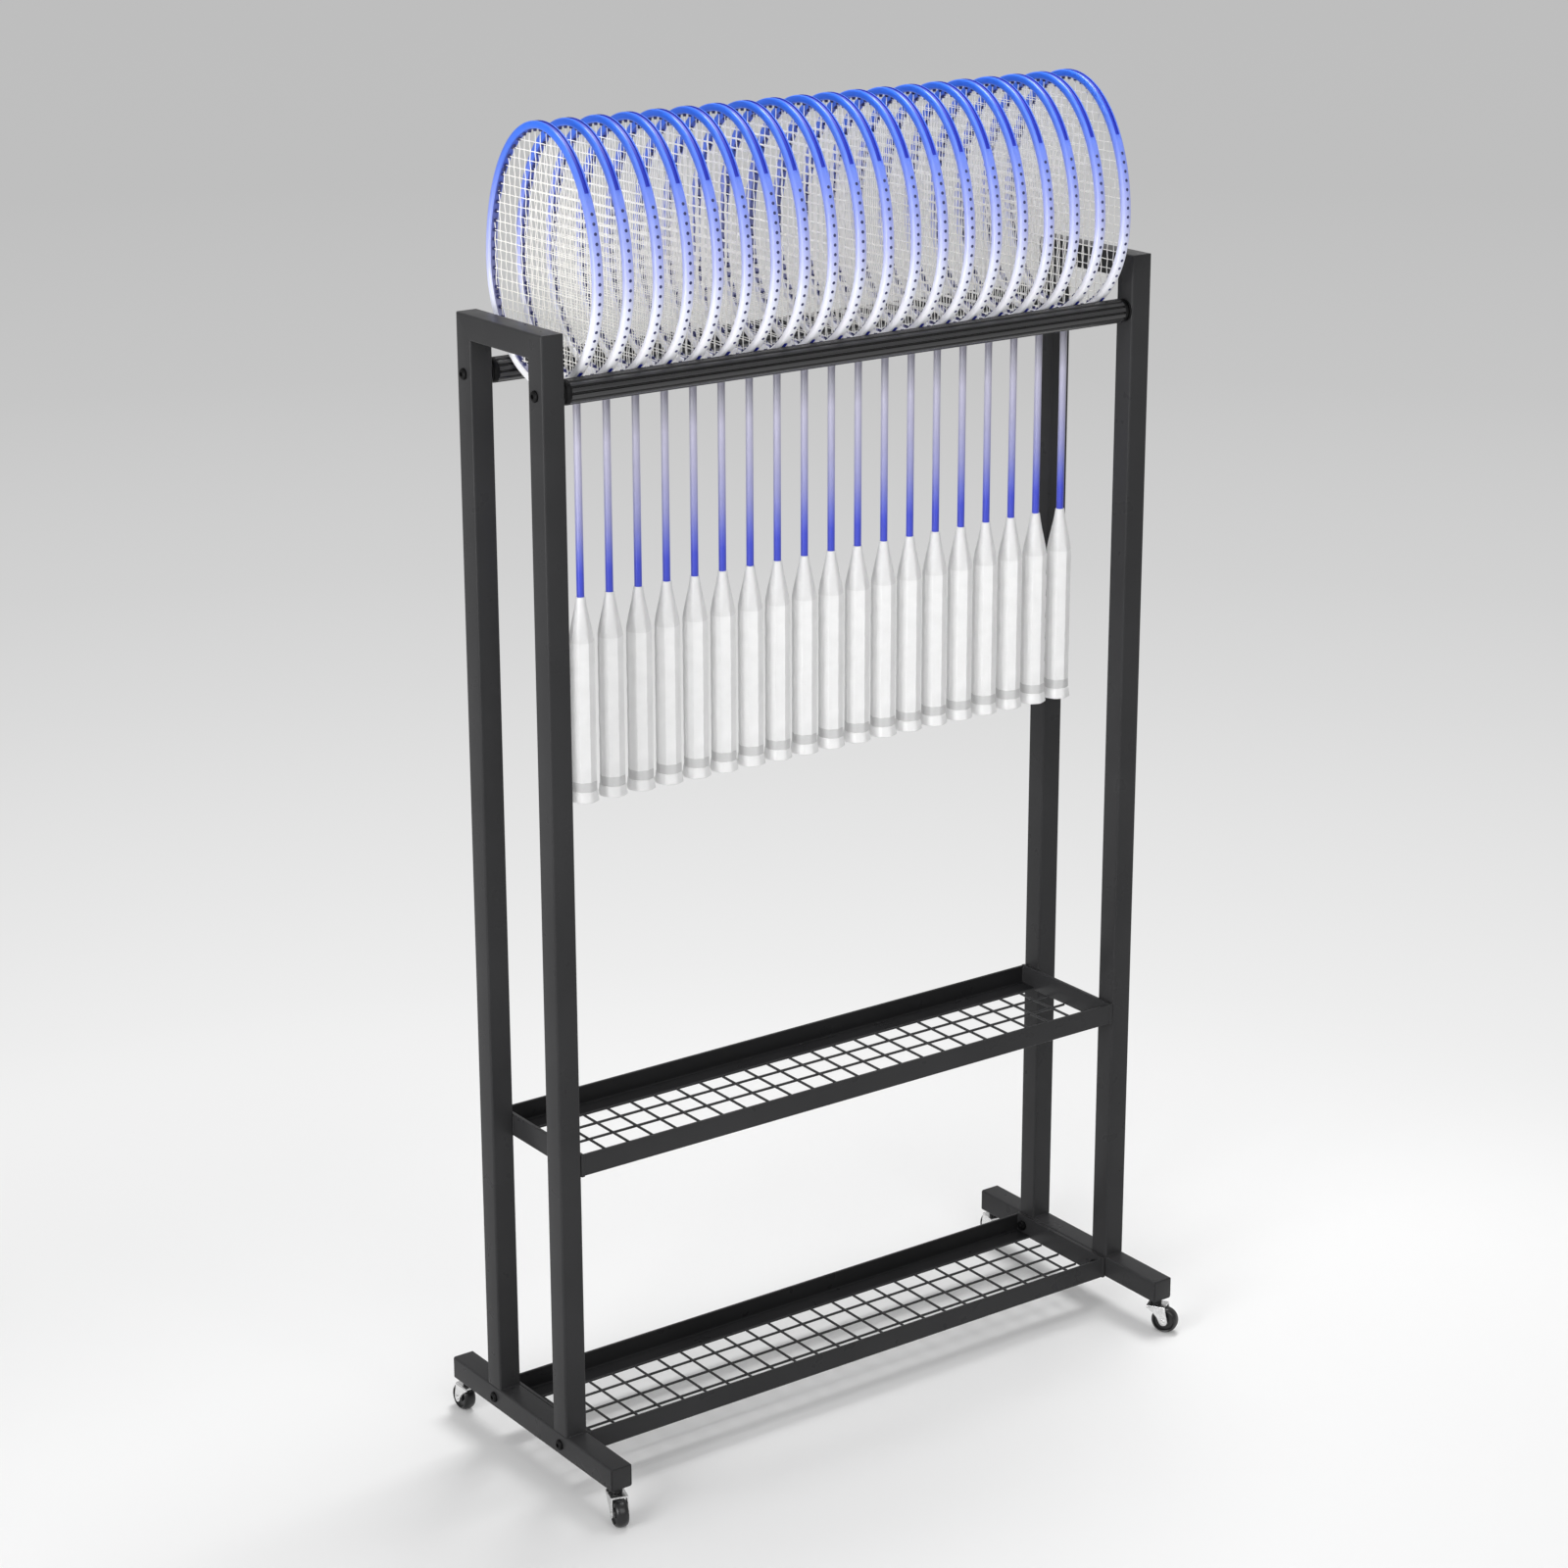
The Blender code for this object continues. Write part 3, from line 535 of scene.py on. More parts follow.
def moulded_plastic(name, code, roughness, specular=0.5):
    """Moulded plastic with a faint grain."""
    material, space = new_material(name, code, roughness, specular=specular)
    vary_colour(material, space, 60.0, 0.95, 1.05)
    bump(material, noise(material, space, 1600.0, 2.0), 0.10, 0.0001)
    return material


def zinc_plate():
    """Bright zinc plate with a soft cloudy gloss."""
    material, space = new_material("bright_zinc", "e6e6e6", 0.22, metallic=1.0)
    vary_colour(material, space, 160.0, 0.88, 1.04)
    vary_roughness(material, space, 420.0, 0.16, 0.34)
    return material


def racket_paint(name, lowest, highest, stops, gloss):
    """Gloss paint whose colour fades with height between two levels of the racket."""
    first = stops[0][1]
    material, space = new_material(name, first, gloss, coat=0.12, specular=0.35)
    level = spread(material, height_of(material, space), 0.0, 1.0, lowest, highest)
    colours = ramp(material, level, [(position, srgb(code)) for position, code in stops])
    vary_colour(material, space, 30.0, 0.98, 1.02, colours)
    return material


def grip_cover():
    """White synthetic grip: soft sheen, fine perforation and a little handling grey."""
    material, space = new_material("grip_cover", "ededed", 0.62)
    shader = material.node_tree.nodes["Principled BSDF"]
    shader.inputs["Sheen Weight"].default_value = 0.15
    vary_colour(material, space, 45.0, 0.95, 1.02)
    cells = add_node(material, "TexVoronoi", Scale=620.0)
    join(material, space, cells.inputs["Vector"])
    bump(material, cells.outputs["Distance"], 0.18, 0.0003)
    return material


RIM_STOPS = [
    (0.00, "f5f5f7"), (0.16, "f2f2f8"), (0.30, "e3e6f9"), (0.44, "bbc1f2"), (0.58, "9aa6eb"),
    (0.72, "768ce8"), (0.84, "5177e1"), (1.00, "2b6de8"),
]
# The shaft's colour turns grey towards its top, by the rails.
SHAFT_STOPS = [
    (0.00, "3f4bc4"), (0.11, "444fc8"), (0.20, "6a72cb"), (0.33, "9698cc"), (0.52, "b2b1cf"),
    (0.70, "bebcd0"), (0.80, "a8a7b4"), (0.88, "8b8a96"),
]
# Inner face of the frame: darker than the outside, painted shade from the strings and the rackets beside
# it.
INNER_SHADE_STOPS = [(0.00, "9c9cb4"), (0.35, "7c7ea4"), (0.70, "4c5cae"), (1.00, "2850c4")]
STEEL = powder_coat("black_powder_coat", "353536")
# Darker coat for the tray angles' inside faces: painted shade where the legs hide them from the lamps.
STEEL_PAINTED_SHADE = powder_coat("black_powder_coat_painted_shade", "212122")
WIRE_BLACK = powder_coat("black_wire_coat", "3a3a3b")
RAIL_BLACK = fluted_black("black_fluted_rail", "323233")
# Near-black for the flute floors: painted shade down in the rail's grooves.
FLUTE_PAINTED_SHADE = fluted_black("black_flute_floor_painted_shade", "080808")
BOLT_BLACK = moulded_plastic("black_oxide", "09090a", 0.50, 0.15)
PLASTIC_BLACK = moulded_plastic("black_plastic", "131314", 0.45, 0.3)
WHEEL_BLACK = moulded_plastic("black_wheel", "141415", 0.30)
CAP_BLACK = moulded_plastic("black_cap", "2a2a2b", 0.45, 0.3)
ZINC = zinc_plate()
RIM_PAINT = racket_paint("rim_paint", -HEAD_BELOW, HEAD_ABOVE, RIM_STOPS, 0.30)
INNER_PAINTED_SHADE = racket_paint("rim_inner_painted_shade", -HEAD_BELOW, HEAD_ABOVE, INNER_SHADE_STOPS, 0.45)
SHAFT_PAINT = racket_paint("shaft_paint", -CONE_TOP, -THROAT_TOP, SHAFT_STOPS, 0.30)
GROOVE_BLUE = moulded_plastic("groove_strip", "1c2eb0", 0.50)
GROMMET_NAVY = moulded_plastic("grommet_navy", "262a5c", 0.50)
STRING_WHITE = moulded_plastic("string_white", "faf8f2", 0.35)
CONE_WHITE = moulded_plastic("cone_white", "e3e3e3", 0.42)
BUTT_WHITE = moulded_plastic("butt_white", "ebebeb", 0.42)
GRIP_WHITE = grip_cover()
RING_GREY = moulded_plastic("ring_grey", "cfcfcf", 0.55)


def new_object(name, data):
    """A new object in the scene."""
    made = bpy.data.objects.new(name, data)
    bpy.context.scene.collection.objects.link(made)
    return made


def add_piece(name, mesh, materials, nodes=(), body="rack", matrix=None):
    """Show a mesh as a named piece that rides on a body and stands for the nodes it names."""
    piece = new_object(name, mesh)
    if not mesh.materials:
        for material in materials:
            mesh.materials.append(material)
    if matrix is not None:
        piece.matrix_world = matrix
    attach(piece, body)
    if nodes:
        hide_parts(*nodes)
    return piece


def add_tube(node, rings):
    """One tube of a side frame as a piece."""
    add_piece(f"{node}_tube", loft_mesh(node, rings), [STEEL], [node])


def make_upright(side, end):
    """A square tube whose top is mitred to meet the crossbar."""
    node = f"{side}_{end}_upright"
    low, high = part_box(node)
    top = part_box(f"{side}_crossbar")[1].z
    rings = tube_rings(low, high, 2)
    outer = low.y if ENDS[end] < 0 else high.y
    for point in rings[1]:
        point[2] = top - abs(point[1] - outer)
    add_tube(node, rings)


def make_crossbar(side):
    """The top tube, mitred at both ends."""
    node = f"{side}_crossbar"
    low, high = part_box(node)
    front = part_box(f"{side}_front_upright")[0].y
    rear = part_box(f"{side}_rear_upright")[1].y
    rings = tube_rings(low, high, 1)
    for point in rings[0]:
        point[1] = front + (high.z - point[2])
    for point in rings[1]:
        point[1] = rear - (high.z - point[2])
    add_tube(node, rings)


def make_foot(side):
    """The foot tube and the two caps pressed into its ends."""
    node = f"{side}_foot"
    low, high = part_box(node)
    add_tube(node, tube_rings(low, high, 1))
    for end, direction in ENDS.items():
        cap_node = f"{side}_{end}_foot_cap"
        cap_low, cap_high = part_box(cap_node)
        face = low.y if direction < 0 else high.y
        start, stop = sorted((face, face + direction * CAP_DOME))
        bm = bmesh.new()
        add_rounded_box(bm, (cap_low.x, start, cap_low.z), (cap_high.x, stop, cap_high.z), CAP_ROUND)
        cap = finish_mesh(bm, cap_node)
        add_piece(f"{cap_node}_face", cap, [CAP_BLACK], [cap_node])


def add_bead(bm, start, end):
    """A painted weld bead with a slight ripple, along a straight joint."""
    start, end = Vector(start), Vector(end)
    run = end - start
    count = max(BEAD_LEAST_STEPS, round(run.length / BEAD_PITCH) * BEAD_STEPS_A_RIPPLE)
    across = run.orthogonal().normalized()
    up = run.cross(across).normalized()
    rings = []
    for index in range(count + 1):
        along = index / count
        swell = math.sin(math.pi * min(1.0, BEAD_FADE * along, BEAD_FADE * (1 - along)) / 2)
        ripple = 1 + BEAD_RIPPLE * math.sin(2 * math.pi * along * run.length / BEAD_PITCH)
        radius = BEAD * max(BEAD_LEAST, swell * ripple)
        middle = start + run * along
        rings.append([middle + across * u + up * v for u, v in circle(radius, BEAD_SIDES)])
    add_loft(bm, rings)


def make_beads():
    """Weld beads under the uprights, at the mid tray's ends and in the trays' corners."""
    bm = bmesh.new()
    for side, end in CORNERS:
        low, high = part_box(f"{side}_{end}_upright")
        foot_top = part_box(f"{side}_foot")[1].z
        for y in (low.y, high.y):
            add_bead(bm, (low.x + TUBE_CORNER, y, foot_top), (high.x - TUBE_CORNER, y, foot_top))
        inner_x = high.x if SIDES[side] < 0 else low.x
        inner_y = high.y if ENDS[end] < 0 else low.y
        tray_low, tray_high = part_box("mid_tray_frame")
        add_bead(bm, (inner_x, inner_y, tray_low.z + BEAD), (inner_x, inner_y, tray_high.z - BEAD))
    add_piece("frame_weld_beads", finish_mesh(bm, "beads"), [STEEL])


def rail_section():
    """Points of the fluted section: round-bottomed grooves between wide lands."""
    points = []
    step = 2 * math.pi / RAIL_FLUTES
    groove = step * FLUTE_SHARE
    for flute in range(RAIL_FLUTES):
        middle = flute * step
        for index in range(FLUTE_STEPS + 1):
            share = index / FLUTE_STEPS
            depth = FLUTE_DEPTH * math.sin(math.pi * share) ** FLUTE_ROUNDNESS
            points.append(polar(RAIL_RADIUS - depth, middle + groove * (share - 0.5)))
        for index in range(1, LAND_STEPS + 1):
            share = index / (LAND_STEPS + 1)
            points.append(polar(RAIL_RADIUS, middle + groove / 2 + (step - groove) * share))
    return points


def make_rail(end):
    """A fluted rail between two round-nosed end caps."""
    node = f"{end}_rail"
    low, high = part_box(node)
    middle = (low + high) / 2
    reach = (high.x - low.x) / 2 - RAIL_CAP

    def across(outline, x):
        return [(middle.x + x, middle.y + u, middle.z + v) for u, v in outline]

    bm = bmesh.new()
    section = rail_section()
    add_loft(bm, [across(section, x) for x in (-reach, reach)])
    turn = len(section) // RAIL_FLUTES
    # The flute floors take the second material, painted shade in the grooves.
    bm.faces.index_update()
    for face in bm.faces:
        flute_floor = len(face.verts) == 4 and face.index % turn in range(1, FLUTE_STEPS - 1)
        face.material_index = 1 if flute_floor else 0
    nose = []
    for step in range(RAIL_CAP_STEPS + 1):
        angle = RIGHT_ANGLE * step / RAIL_CAP_STEPS
        place = RAIL_NOSE - RAIL_CAP_ROUND * (1 - math.sin(angle))
        nose.append((RAIL_RADIUS - RAIL_CAP_DROP * (1 - math.cos(angle)), place))
    before = len(bm.faces)
    for direction in (-1, 1):
        rings = []
        for radius, place in CAP_START + nose + CAP_WASHER:
            rings.append(across(circle(radius, RAIL_CAP_SIDES), direction * (reach + place)))
        add_loft(bm, rings)
    # The caps and washers take near-black: a dark end cap, with painted shade in the gap at the upright.
    bm.faces.ensure_lookup_table()
    for face in bm.faces[before:]:
        face.material_index = 2
    materials = [RAIL_BLACK, FLUTE_PAINTED_SHADE, BOLT_BLACK]
    add_piece(f"{node}_fluted", finish_mesh(bm, node), materials, [node])


def angle_section(outer, direction, bottom, height):
    """An angle as (y, z): one leg up the outside and one turned in along the bottom."""
    inward = -direction
    corners = [
        (outer, bottom),
        (outer + inward * ANGLE_LEG, bottom),
        (outer + inward * ANGLE_LEG, bottom + ANGLE_WALL),
        (outer + inward * ANGLE_WALL, bottom + ANGLE_WALL),
        (outer + inward * ANGLE_WALL, bottom + height),
        (outer, bottom + height),
    ]
    return rounded_outline(corners, ANGLE_ROUNDS, ANGLE_STEPS)


def make_tray_frame(tray):
    """Angles along the front and rear, bars across the ends and beads in the corners.

    The top of each lower leg, its inner corner and the inside of its standing leg take the
    second material, a darker coat that is painted shade inside the angle. They are the faces
    round the fourth corner of the angle's section.
    """
    node = f"{tray}_tray_frame"
    low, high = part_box(node)
    bottom = low.z + ANGLE_SETBACK
    height = high.z - low.z - 2 * ANGLE_SETBACK
    corner = ANGLE_STEPS + 1
    bm = bmesh.new()
    for direction in ENDS.values():
        outer = low.y + ANGLE_SETBACK if direction < 0 else high.y - ANGLE_SETBACK
        section = angle_section(outer, direction, bottom, height)
        reach = (low.x + END_BAR / 2, high.x - END_BAR / 2)
        before = len(bm.faces)
        add_loft(bm, [lifted(section, x, 0) for x in reach])
        bm.faces.ensure_lookup_table()
        # These faces take the darker coat, painted shade inside the angle.
        for face in bm.faces[before + 3 * corner - 1:before + 4 * corner]:
            face.material_index = 1
        inner = outer - direction * ANGLE_WALL
        for x in (low.x + END_BAR, high.x - END_BAR):
            add_bead(bm, (x, inner, bottom + ANGLE_WALL), (x, inner, bottom + height - BEAD))
    add_rounded_box(bm, low, (low.x + END_BAR, high.y, high.z), END_BAR_ROUND)
    add_rounded_box(bm, (high.x - END_BAR, low.y, low.z), high, END_BAR_ROUND)
    materials = [STEEL, STEEL_PAINTED_SHADE]
    add_piece(f"{node}_welded", finish_mesh(bm, node), materials, [node])


def add_wire(bm, axis, start, end, across, height):
    """A round wire with slightly rounded ends, along X or Y."""
    profile = [(share, start + place) for share, place in WIRE_END]
    profile += [(share, end - place) for share, place in reversed(WIRE_END)]
    rings = []
    for share, place in profile:
        ring = [(u + across, v + height) for u, v in circle(WIRE_RADIUS * share, WIRE_SIDES)]
        rings.append(lifted(ring, place, axis))
    add_loft(bm, rings)


def centred(count, pitch, middle=0.0):
    """Positions of an evenly spaced row about its middle."""
    return [middle + (index - (count - 1) / 2) * pitch for index in range(count)]


def make_wires(tray):
    """The tray's wire mesh: cross wires on top of long wires, with a weld at each crossing."""
    node = f"{tray}_tray_mesh"
    low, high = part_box(node)
    middle = (low + high) / 2
    long_height = low.z + WIRE_RADIUS
    cross_height = high.z - WIRE_RADIUS
    weld = {"u_segments": WELD_SIDES, "v_segments": WELD_RINGS, "radius": WIRE_RADIUS}
    bm = bmesh.new()
    rows = centred(LONG_WIRES, LONG_WIRE_PITCH, middle.y)
    for y in rows:
        add_wire(bm, 0, low.x, high.x, y, long_height)
    for x in centred(CROSS_WIRES, CROSS_WIRE_PITCH, middle.x):
        add_wire(bm, 1, low.y, high.y, x, cross_height)
        for y in rows:
            place = (x, y, (long_height + cross_height) / 2)
            matrix = Matrix.Translation(place) @ WIRE_WELD
            bmesh.ops.create_uvsphere(bm, matrix=matrix, **weld)
    add_piece(f"{node}_wires", finish_mesh(bm, node), [WIRE_BLACK], [node])


def hexagon_ring(flats):
    """Points spaced round a hexagon with the given width across its flats."""
    points = []
    for index in range(BOLT_SIDES):
        angle = 2 * math.pi * index / BOLT_SIDES
        points.append(polar(flats / 2 / math.cos(from_flat(angle, HEXAGON)), angle))
    return points


def bolt_rings(reach):
    """A button-head bolt along Z with a hexagon socket; its head is above z = 0."""
    floor = BOLT_HEAD_HEIGHT - BOLT_SOCKET_DEPTH
    socket = hexagon_ring(BOLT_SOCKET)
    middle = [(u * SOCKET_MIDDLE, v * SOCKET_MIDDLE) for u, v in socket]
    profile = [(BOLT_CROWN / 2, BOLT_HEAD_HEIGHT)]
    for step in range(1, BOLT_CROWN_STEPS + 1):
        angle = RIGHT_ANGLE * step / BOLT_CROWN_STEPS
        radius = BOLT_CROWN / 2 + (BOLT_HEAD - BOLT_CROWN) / 2 * math.sin(angle)
        profile.append((radius, BOLT_RIM + (BOLT_HEAD_HEIGHT - BOLT_RIM) * math.cos(angle)))
    profile += [
        (BOLT_HEAD / 2 - BOLT_UNDERCUT, 0.0),
        (BOLT_SHANK / 2, 0.0),
        (BOLT_SHANK / 2, SHANK_CHAMFER_LENGTH - reach),
        (BOLT_SHANK / 2 - SHANK_CHAMFER, -reach),
    ]
    rings = [lifted(middle, floor), lifted(socket, floor), lifted(socket, BOLT_HEAD_HEIGHT)]
    return rings + turned_rings(profile, BOLT_SIDES)


def nut_rings():
    """A hexagon nut along Z with chamfered corners, on the bolt's shank."""
    end = circle(NUT_FLATS / 2, BOLT_SIDES)
    hexagon = hexagon_ring(NUT_FLATS)
    return [
        lifted(end, 0.0),
        lifted(hexagon, NUT_CHAMFER),
        lifted(hexagon, NUT_HEIGHT - NUT_CHAMFER),
        lifted(end, NUT_HEIGHT),
    ]


def make_bolts():
    """The rail and foot bolts, with a nut on each foot bolt inside the lower tray."""
    for side, end in CORNERS:
        direction = SIDES[side]
        for use in ("rail", "foot"):
            node = f"{side}_{end}_{use}_bolt"
            low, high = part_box(node)
            middle = (low + high) / 2
            seat = high.x - BOLT_HEAD_HEIGHT if direction > 0 else low.x + BOLT_HEAD_HEIGHT
            turn = Matrix.Rotation(RIGHT_ANGLE * direction, 4, "Y")
            matrix = Matrix.Translation((seat, middle.y, middle.z)) @ turn
            bolt = loft_mesh(node, bolt_rings(high.x - low.x - BOLT_HEAD_HEIGHT))
            add_piece(f"{node}_shaped", bolt, [BOLT_BLACK], [node], matrix=matrix)
            if use == "foot":
                tray_low, tray_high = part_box("lower_tray_frame")
                bar = tray_low.x + END_BAR if direction < 0 else tray_high.x - END_BAR
                inward = Matrix.Rotation(-RIGHT_ANGLE * direction, 4, "Y")
                matrix = Matrix.Translation((bar, middle.y, middle.z)) @ inward
                nut = loft_mesh(f"{node}_nut", nut_rings())
                add_piece(f"{side}_{end}_foot_nut", nut, [BOLT_BLACK], matrix=matrix)


def joint_place(name):
    """A joint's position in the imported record."""
    return next(Vector(joint["pos_m"]) for joint in frame["joints"] if joint["name"] == name)


def fork_outline():
    """A cheek as (forward, up): a triangle with a round boss at the axle, and soft corners."""
    outline = [(ahead, CROWN_TOP - drop) for ahead, drop in FORK_BACK_EDGE]
    for step in range(BOSS_STEPS + 1):
        angle = BOSS_START + BOSS_SWEEP * step / BOSS_STEPS
        outline.append((TRAIL + FORK_BOSS * math.cos(angle), WHEEL_RADIUS + FORK_BOSS * math.sin(angle)))
    return outline + [(FORK_FRONT, CROWN_TOP - CHEEK_DROP)]


def add_cheek(bm, inner, outer):
    """One side of the fork, from its inner to its outer face, with soft edges."""
    cheek = bmesh.new()
    add_loft(cheek, [lifted(fork_outline(), y, 1) for y in (inner, outer)])
    edges = [edge for edge in cheek.edges if abs((edge.verts[0].co - edge.verts[1].co).y) < FLAT]
    round_edges(cheek, edges, FORK_EDGE, FORK_EDGE_STEPS)
    mesh = plain_mesh(cheek, "cheek")
    bm.from_mesh(mesh)
    bpy.data.meshes.remove(mesh)


def make_fork(label, swivel):
    """A pressed fork: two cheeks under a crown plate, with the riveted axle."""
    node = f"{label}_caster_fork"
    bm = bmesh.new()
    for direction in (-1, 1):
        inner = direction * FORK_SLOT / 2
        outer = inner + direction * FORK_SHEET
        add_cheek(bm, inner, outer)
        turn = Matrix.Rotation(-RIGHT_ANGLE * direction, 4, "X")
        place = Matrix.Translation((TRAIL, outer, WHEEL_RADIUS)) @ turn
        add_loft(bm, placed(place, turned_rings(RIVET, RIVET_SIDES)))
    half = FORK_SLOT / 2 + FORK_SHEET
    corners = rectangle(-half, CROWN_BOTTOM, half, CROWN_TOP)
    section = rounded_outline(corners, CROWN_ROUNDS, CROWN_STEPS)
    add_loft(bm, [lifted(section, x, 0) for x in (-FORK_BACK, FORK_FRONT)])
    axle = [(u + TRAIL, v + WHEEL_RADIUS) for u, v in circle(AXLE_RADIUS, AXLE_SIDES)]
    add_loft(bm, [lifted(axle, y, 1) for y in (-FORK_SLOT / 2, FORK_SLOT / 2)])
    mesh = finish_mesh(bm, node)
    mesh.transform(swivel)
    add_piece(f"{node}_pressed", mesh, [ZINC], [node], f"{label}_swivel")


def make_wheel(label, matrix):
    """A wheel with a rounded tread, dished sides and a hub."""
    node = f"{label}_caster_wheel"
    near = [(radius, WHEEL_HALF - depth) for radius, depth in WHEEL_SIDE]
    far = [(radius, -height) for radius, height in reversed(near)]
    mesh = loft_mesh(node, turned_rings(near + far, WHEEL_SIDES), closed=True)
    mesh.transform(matrix)
    add_piece(f"{node}_moulded", mesh, [WHEEL_BLACK], [node], f"{label}_wheel")


def make_stem(label, place):
    """Swivel housing with its race, the stem above it and the kingpin below."""
    node = f"{label}_caster_stem"
    low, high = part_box(node)
    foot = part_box(f"{label.split('_')[0]}_foot")[0].z
    profile = [(0.0, high.z), (STEM_RADIUS, high.z)]
    profile += [(radius, foot - depth) for radius, depth in HOUSING]
    profile += [
        (HOUSING_BOTTOM_RADIUS, CROWN_TOP + SWIVEL_GAP),
        (KINGPIN_RADIUS, CROWN_TOP + SWIVEL_GAP),
        (KINGPIN_RADIUS, CROWN_BOTTOM - SWIVEL_GAP),
        (KINGPIN_HEAD_TOP, CROWN_BOTTOM - SWIVEL_GAP),
        (KINGPIN_HEAD_BOTTOM, low.z),
        (0.0, low.z),
    ]
    mesh = loft_mesh(node, turned_rings(profile, HOUSING_SIDES))
    mesh.transform(Matrix.Translation((place.x, place.y, 0.0)))
    add_piece(f"{node}_housing", mesh, [PLASTIC_BLACK], [node])


def make_casters():
    """Four swivel casters, each trailing as its joints are placed."""
    for side, end in CORNERS:
        label = f"{side}_{end}"
        pivot = joint_place(f"{label}_swivel_turn")
        axle = joint_place(f"{label}_wheel_roll")
        turn = Matrix.Rotation(math.atan2(axle.y - pivot.y, axle.x - pivot.x), 4, "Z")
        upright = Matrix.Rotation(RIGHT_ANGLE, 4, "X")
        make_stem(label, pivot)
        make_fork(label, Matrix.Translation((pivot.x, pivot.y, 0.0)) @ turn)
        make_wheel(label, Matrix.Translation(axle) @ turn @ upright)


def head_reach(height):
    """How far the head reaches above or below its widest point."""
    return HEAD_ABOVE if height > 0 else HEAD_BELOW


def eased(share):
    """A share from 0 to 1 with a gentle start and end."""
    return share * share * (3 - 2 * share)


def head_point(angle, inset=0.0):
    """A point of the head's outline as (y, z), drawn in by an inset."""
    reach = head_reach(math.sin(angle))
    return (HEAD_HALF_WIDTH - inset) * math.cos(angle), (reach - inset) * math.sin(angle)


def head_normal(angle):
    """The outward direction of the head's outline at an angle, as (y, z)."""
    reach = head_reach(math.sin(angle))
    normal = Vector((reach * math.cos(angle), HEAD_HALF_WIDTH * math.sin(angle)))
    return normal.normalized()


def groove_share(angle):
    """How far the string groove is cut at an angle, from 0 to 1."""
    share = 0.0
    for middle, half in ((RIGHT_ANGLE, TOP_GROOVE), (3 * RIGHT_ANGLE, BOTTOM_GROOVE)):
        away = abs((angle - middle + math.pi) % (2 * math.pi) - math.pi)
        fade = min(1.0, max(0.0, (half - away) / GROOVE_FADE))
        share = max(share, eased(fade))
    return share


def rim_section(groove):
    """The head frame's section as (sideways, outward), outer face first, all the way round."""
    floor = -GROOVE_DEPTH * groove
    half = [(0.0, floor), (GROOVE_WIDTH / 2 - GROOVE_SLOPE, floor), *RIM_SIDE]
    return half + [(-u, v) for u, v in reversed(half[1:-1])]


def make_rim_mesh():
    """The head's frame; its grooves take the second material and its inner face the third, a darker
    paint that is painted shade.
    """
    bm = bmesh.new()
    rows = []
    shares = []
    for step in range(RIM_STEPS):
        angle = 2 * math.pi * step / RIM_STEPS
        y, z = head_point(angle)
        normal = head_normal(angle)
        shares.append(groove_share(angle))
        section = rim_section(shares[-1])
        rows.append([bm.verts.new((u, y + normal.x * v, z + normal.y * v)) for u, v in section])
    for index, row in enumerate(rows):
        after = (index + 1) % RIM_STEPS
        grooved = shares[index] > 0.5 and shares[after] > 0.5
        for point in range(len(row)):
            beside = (point + 1) % len(row)
            face = bm.faces.new((row[point], row[beside], rows[after][beside], rows[after][point]))
            if grooved and point in (0, 1, len(row) - 2, len(row) - 1):
                face.material_index = 1
            # The inner face takes the darker paint: painted shade from the strings and the rackets
            # beside it.
            if INNER_FACE_START <= point < len(row) - INNER_FACE_START:
                face.material_index = 2
    return finish_mesh(bm, "rim")


def string_span(across, inset):
    """Lowest and highest point of the drawn-in outline at a distance from the middle."""
    share = math.sqrt(max(0.0, 1 - (across / (HEAD_HALF_WIDTH - inset)) ** 2))
    return -(HEAD_BELOW - inset) * share, (HEAD_ABOVE - inset) * share


def cross_half_span(height, inset):
    """Half the width of the drawn-in outline at a height."""
    reach = head_reach(height) - inset
    return (HEAD_HALF_WIDTH - inset) * math.sqrt(max(0.0, 1 - (height / reach) ** 2))


def add_string(bm, points):
    """A thin string through points that lie in the head's plane, give or take the weave."""
    rings = []
    for index, point in enumerate(points):
        before = points[max(0, index - 1)]
        after = points[min(len(points) - 1, index + 1)]
        run = (Vector(after) - Vector(before)).normalized()
        side = Vector((1.0, 0.0, 0.0))
        across = run.cross(side).normalized()
        section = circle(STRING_RADIUS, STRING_SIDES, math.pi / STRING_SIDES)
        rings.append([Vector(point) + side * u + across * v for u, v in section])
    add_loft(bm, rings)


def make_strings_mesh():
    """Mains and crosses woven over and under each other."""
    bm = bmesh.new()
    mains = centred(MAINS, MAIN_PITCH)
    crosses = centred(CROSSES, CROSS_PITCH, CROSS_MIDDLE)
    inner = RIM_DEPTH - STRING_INSET
    for column, y in enumerate(mains):
        low, high = string_span(y, inner)
        points = [(0.0, y, low)]
        for row, z in enumerate(crosses):
            if low < z < high:
                points.append((WEAVE if (row + column) % 2 else -WEAVE, y, z))
        add_string(bm, points + [(0.0, y, high)])
    for row, z in enumerate(crosses):
        half = cross_half_span(z, inner)
        points = [(0.0, -half, z)]
        for column, y in enumerate(mains):
            if abs(y) < half:
                points.append((-WEAVE if (row + column) % 2 else WEAVE, y, z))
        add_string(bm, points + [(0.0, half, z)])
    return finish_mesh(bm, "strings")


def add_turned(bm, place, outward, profile):
    """A small turned form on the head, standing along a (y, z) direction."""
    turn = Vector((0.0, *outward)).to_track_quat("Z", "Y").to_matrix().to_4x4()
    matrix = Matrix.Translation(place) @ turn
    add_loft(bm, placed(matrix, turned_rings(profile, GROMMET_SIDES)))


def add_barrel(bm, angle, inward):
    """A grommet's barrel on the head's inner face, where a string comes out."""
    add_turned(bm, (0.0, *head_point(angle, RIM_DEPTH)), inward, BARREL)


